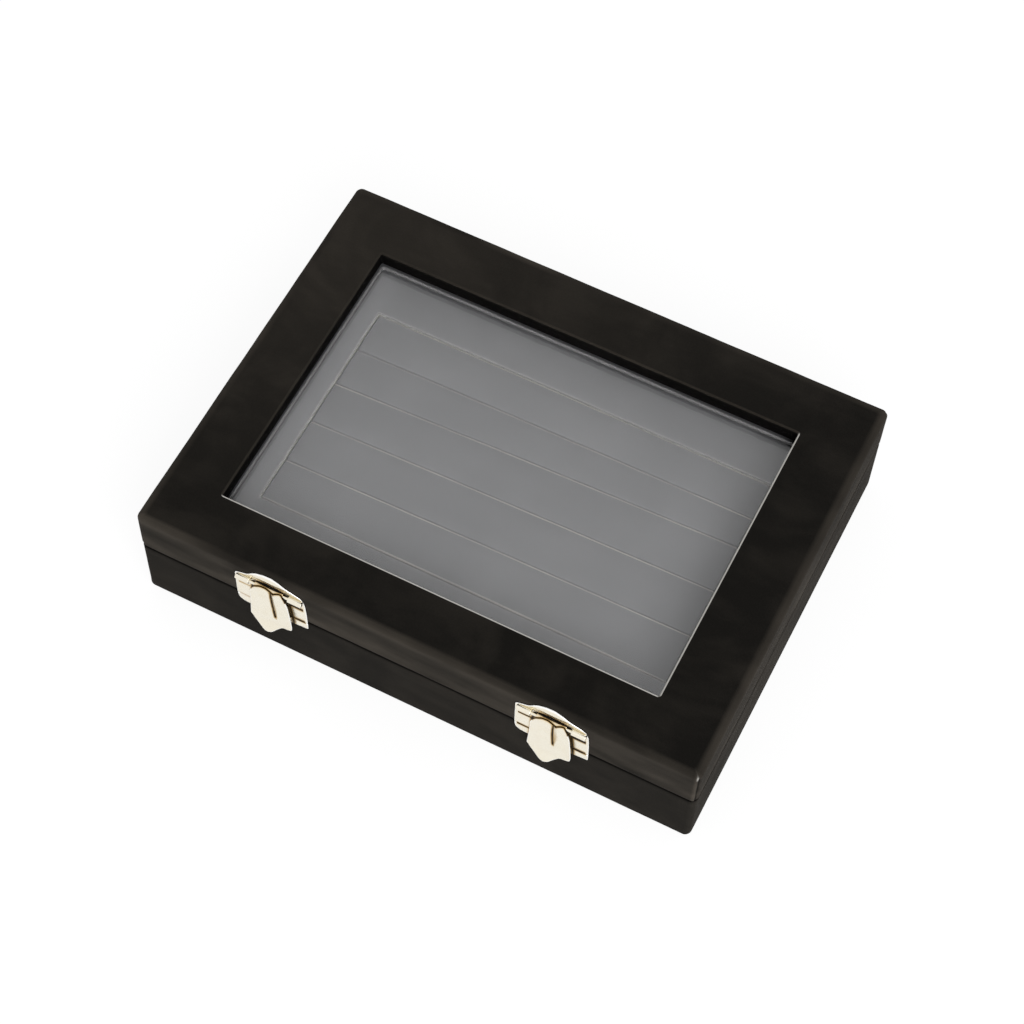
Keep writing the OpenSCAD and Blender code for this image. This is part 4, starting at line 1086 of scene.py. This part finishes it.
def tongue_shape(x, z, depth, groove):
    """The tongue: slightly domed and grooved, its top wrapped over the roll, its lip leaning out below."""
    press = groove_depth(x / MM, z / MM, groove)
    press = press * press * (3 - 2 * press)
    lift = 0.16 * MM * (1 - min((x / (7.5 * MM)) ** 2, 1)) - 0.10 * MM - 0.40 * MM * press
    if z > PIN_Z:
        a = (z - PIN_Z) / CURL_R
        radius = CURL_R + lift - depth
        return PIN_OUT + radius * math.cos(a), PIN_Z + radius * math.sin(a)
    lean = max(TONGUE_CORNER_Z - z, 0) / (TONGUE_CORNER_Z - TIP_Z)
    return TONGUE_FACE + lift + LIP_OUT * lean ** 1.15 - depth, z


# How much painted shade a point gets, from 0 to 1, is worked out from its place in millimetres.
def beyond(px, pz):
    """How far a point lies from the outline of the tongue's face."""
    return float(np.min(np.hypot(*(tongue_face - (px, pz)).T)))


def curl_shade(px, out, pz):
    """Painted shade, most where the tongue's curl leaves the face."""
    angle = math.atan2(pz - PIN_Z / MM, out - PIN_OUT / MM)
    on_sheet = beyond(px, (PIN_Z + CURL_R * angle) / MM) if 0 < angle < 2.6 else 1000
    return max(near(on_sheet, 0.1, 0.38, 1.15), 0.16)


catch_outline, plate_outline = eased_loop(CATCH_OUTLINE, 0.3 * MM), eased_loop(PLATE_OUTLINE, 0.3 * MM)
slot_outline, tongue_outline = eased_loop(SLOT_OUTLINE, 0.25 * MM), eased_loop(TONGUE_OUTLINE, 0.25 * MM)
tongue_face = tongue_outline / MM
slot_top = list(zip(*sorted(SLOT_OUTLINE[2:])))
bead = about(METAL_T * 0.5, BEAD_Z, BEAD_R, np.linspace(-math.pi / 2, math.pi / 2, 14))
pin = about(PIN_OUT, PIN_Z, PIN_R, np.linspace(0, 2 * math.pi, 21)[:-1])

for side, x in LATCHES.items():
    groove = GROOVES[side]

    def wing(px):
        return WING_SHADE[side][0 if px < 0 else 1]

    # painted shade in the groove, at its top and along the lobes' arch
    def tongue_shade(px, pz):
        x0, foot = groove_sides(pz, groove)[0], groove[0][0]
        along = clamp((pz - foot) / 1.2) * clamp((41.9 - pz) / 0.6)
        wall = near(px, x0, 0.36) * along * (1.4 + 0.6 * waver(px, 0, pz, 3, 2.0))
        soft = min(0.42, 0.9 * groove_depth(px, pz, groove)) * near(pz, foot + 4, 7)
        spot = near(px, x0 + 0.45, 0.75, 1.6) * near(pz, 41.1, 0.60)
        arch = near(beyond(px, pz), 0, 0.27, 1.2) if pz > 38.5 else 0.0
        return min(max(wall, soft, spot, arch), 1)

    # painted shade along the tongue's outline, under the wings' rolls, at the seam and under the slot's hood;
    # it stays on the plate when the tongue is raised
    def plate_shade(px, pz):
        patchiness = 0.5 + 0.5 * waver(px, 0, 3 * pz, 4, x / MM)
        edge = near(beyond(px, pz), 0, 0.6, 1.1) if pz < 39.5 else 0.0
        foot_reach, seam_reach = (0.50, 0.55) if px < 0 else (0.85, 0.95)
        foot = near(pz, 36.1, foot_reach, 1.7 * wing(px)) if 7.1 < abs(px) < 11.8 else 0
        seam = near(pz, 28.0, seam_reach, 1.6 * wing(px)) if abs(px) < 12.2 else 0
        hood = near(pz, np.interp(px, *slot_top), 0.45, 0.9) * near(px, 0, 6.5)
        return min(max(edge, foot * (0.6 + 0.6 * patchiness), seam * (0.5 + 0.7 * patchiness), hood), 1)

    # painted shade along the tongue's outline and at the seam
    def catch_shade(px, pz):
        seam = near(pz, 27.6, 0.40, 1.2 * wing(px)) if abs(px) < 12.2 else 0
        patchiness = 0.8 + 0.7 * waver(px, 0, pz, 3, x / MM)
        return min(max(near(beyond(px, pz), 0, 0.6, 1.1), seam * patchiness), 1)

    def roll_shade(px, out, pz):
        # painted shade on the underside of the roll
        under = out > PIN_OUT / MM and abs(px) < 11.3
        return min(near(pz, PIN_Z / MM - 0.8, 0.35, wing(px)), 1) if under else 0.0

    def fit(part, node, body, *meshes):
        name = f"latch_{side}_{part}"
        finished(name, joined(name, meshes), latch_metal, body, "latch_metal", f"latch_{side}_{node}")

    # lower plate, with the bead that the tongue snaps over
    sheet = pressed_sheet(catch_outline, [], lambda px, pz, depth: (METAL_T - depth, pz),
                          PLATE_T, 0.4 * MM, x, catch_shade)
    fit("lower_plate", "catch", "base", sheet, rolled_bar(bead, -BEAD_HALF, BEAD_HALF, x))

    # upper plate, rolled round the pin at both wings
    sheet = pressed_sheet(plate_outline, [slot_outline], plate_shape, PLATE_T, 0.26 * MM, x, plate_shade)
    rolls = [rolled_bar(knuckle(168, -165, CURL_R, 30), *ends, x, roll_shade)
             for ends in ((-ROLL_STOP, -ROLL_START), (ROLL_START, ROLL_STOP))]
    fit("upper_plate", "plate", "lid", sheet, *rolls)
    fit("round_pin", "pin", "lid", rolled_bar(pin, -PIN_HALF, PIN_HALF, x))

    # tongue, its top edge rolled back round the pin
    face = pressed_sheet(tongue_outline, [], lambda px, pz, depth: tongue_shape(px, pz, depth, groove),
                         METAL_T * 0.92, 0.19 * MM, x, tongue_shade)
    curl = rolled_bar(knuckle(20, 285, 0.90 * MM, 60), -CURL_HALF, CURL_HALF, x, curl_shade)
    fit("tongue_plate", "tongue", f"{side}_tongue", face, curl)


# ---- Studio ----
# A plain white table and soft light from all round, with a large soft lamp before the front right corner,
# low enough to reach under the lid's frame, and the camera where the photograph was taken from.
CAMERA_AT = (0.1762619573646164, -0.38369357914689357, 0.7453759456294688)
CAMERA_TURN = (29.98339595, -1.18392089, 26.89082333)
CAMERA_LENS = 88.1390173915872
WORLD_LEVEL = 0.62
LAMP_POWER = 8.0
LAMP_SIZE = 0.9
LAMP_AT = (0.60, -0.80, 0.95)
LAMP_AIM = (0, 0, 0.02)
TABLE_SPAN = 3.0
TABLE_GREY = (0.93, 0.93, 0.93, 1)
TABLE_GLOW = 1.08
WHITE = (1, 1, 1, 1)


def seen_rays(tree):
    """1 for the rays that come from the camera, off polished metal or through the glass."""
    ray = add(tree, "LightPath").outputs
    seen = calc(tree, "MAXIMUM", ray["Is Camera Ray"], ray["Is Glossy Ray"])
    return calc(tree, "MAXIMUM", seen, ray["Is Transmission Ray"])


scene = bpy.context.scene
scene.view_settings.view_transform = "Standard"
scene.camera = put("camera", bpy.data.cameras.new("camera"))
scene.camera.data.lens = CAMERA_LENS
scene.camera.location = CAMERA_AT
scene.camera.rotation_euler = [math.radians(a) for a in CAMERA_TURN]

scene.world = bpy.data.worlds.new("white_room")
scene.world.use_nodes = True
tree = scene.world.node_tree
background = tree.nodes["Background"].inputs
tree.links.new(spread(tree, seen_rays(tree), 0.0, 1.0, WORLD_LEVEL, 1.0), background["Strength"])
background["Color"].default_value = WHITE

lamp = put("soft_lamp", bpy.data.lights.new("soft_lamp", "AREA"))
lamp.data.shape = "DISK"
lamp.data.size = LAMP_SIZE
lamp.data.energy = LAMP_POWER
lamp.location = LAMP_AT
lamp.rotation_euler = (Vector(LAMP_AIM) - Vector(LAMP_AT)).to_track_quat("-Z", "Y").to_euler()

table_mesh = bpy.data.meshes.new("table_top")
corners = [(x * TABLE_SPAN, y * TABLE_SPAN, 0) for x, y in ((-1, -1), (1, -1), (1, 1), (-1, 1))]
table_mesh.from_pydata(corners, [], [(0, 1, 2, 3)])
white = bpy.data.materials.new("white_table")
white.use_nodes = True
tree = white.node_tree
tree.nodes.clear()
shown = add(tree, "MixShader", {
    0: calc(tree, "MULTIPLY", seen_rays(tree), 0.8),
    1: add(tree, "BsdfDiffuse", {"Color": TABLE_GREY}).outputs[0],
    2: add(tree, "Emission", {"Color": WHITE, "Strength": TABLE_GLOW}).outputs[0],
})
add(tree, "OutputMaterial", {"Surface": shown.outputs[0]})
table_mesh.materials.append(white)
put("table_top", table_mesh)
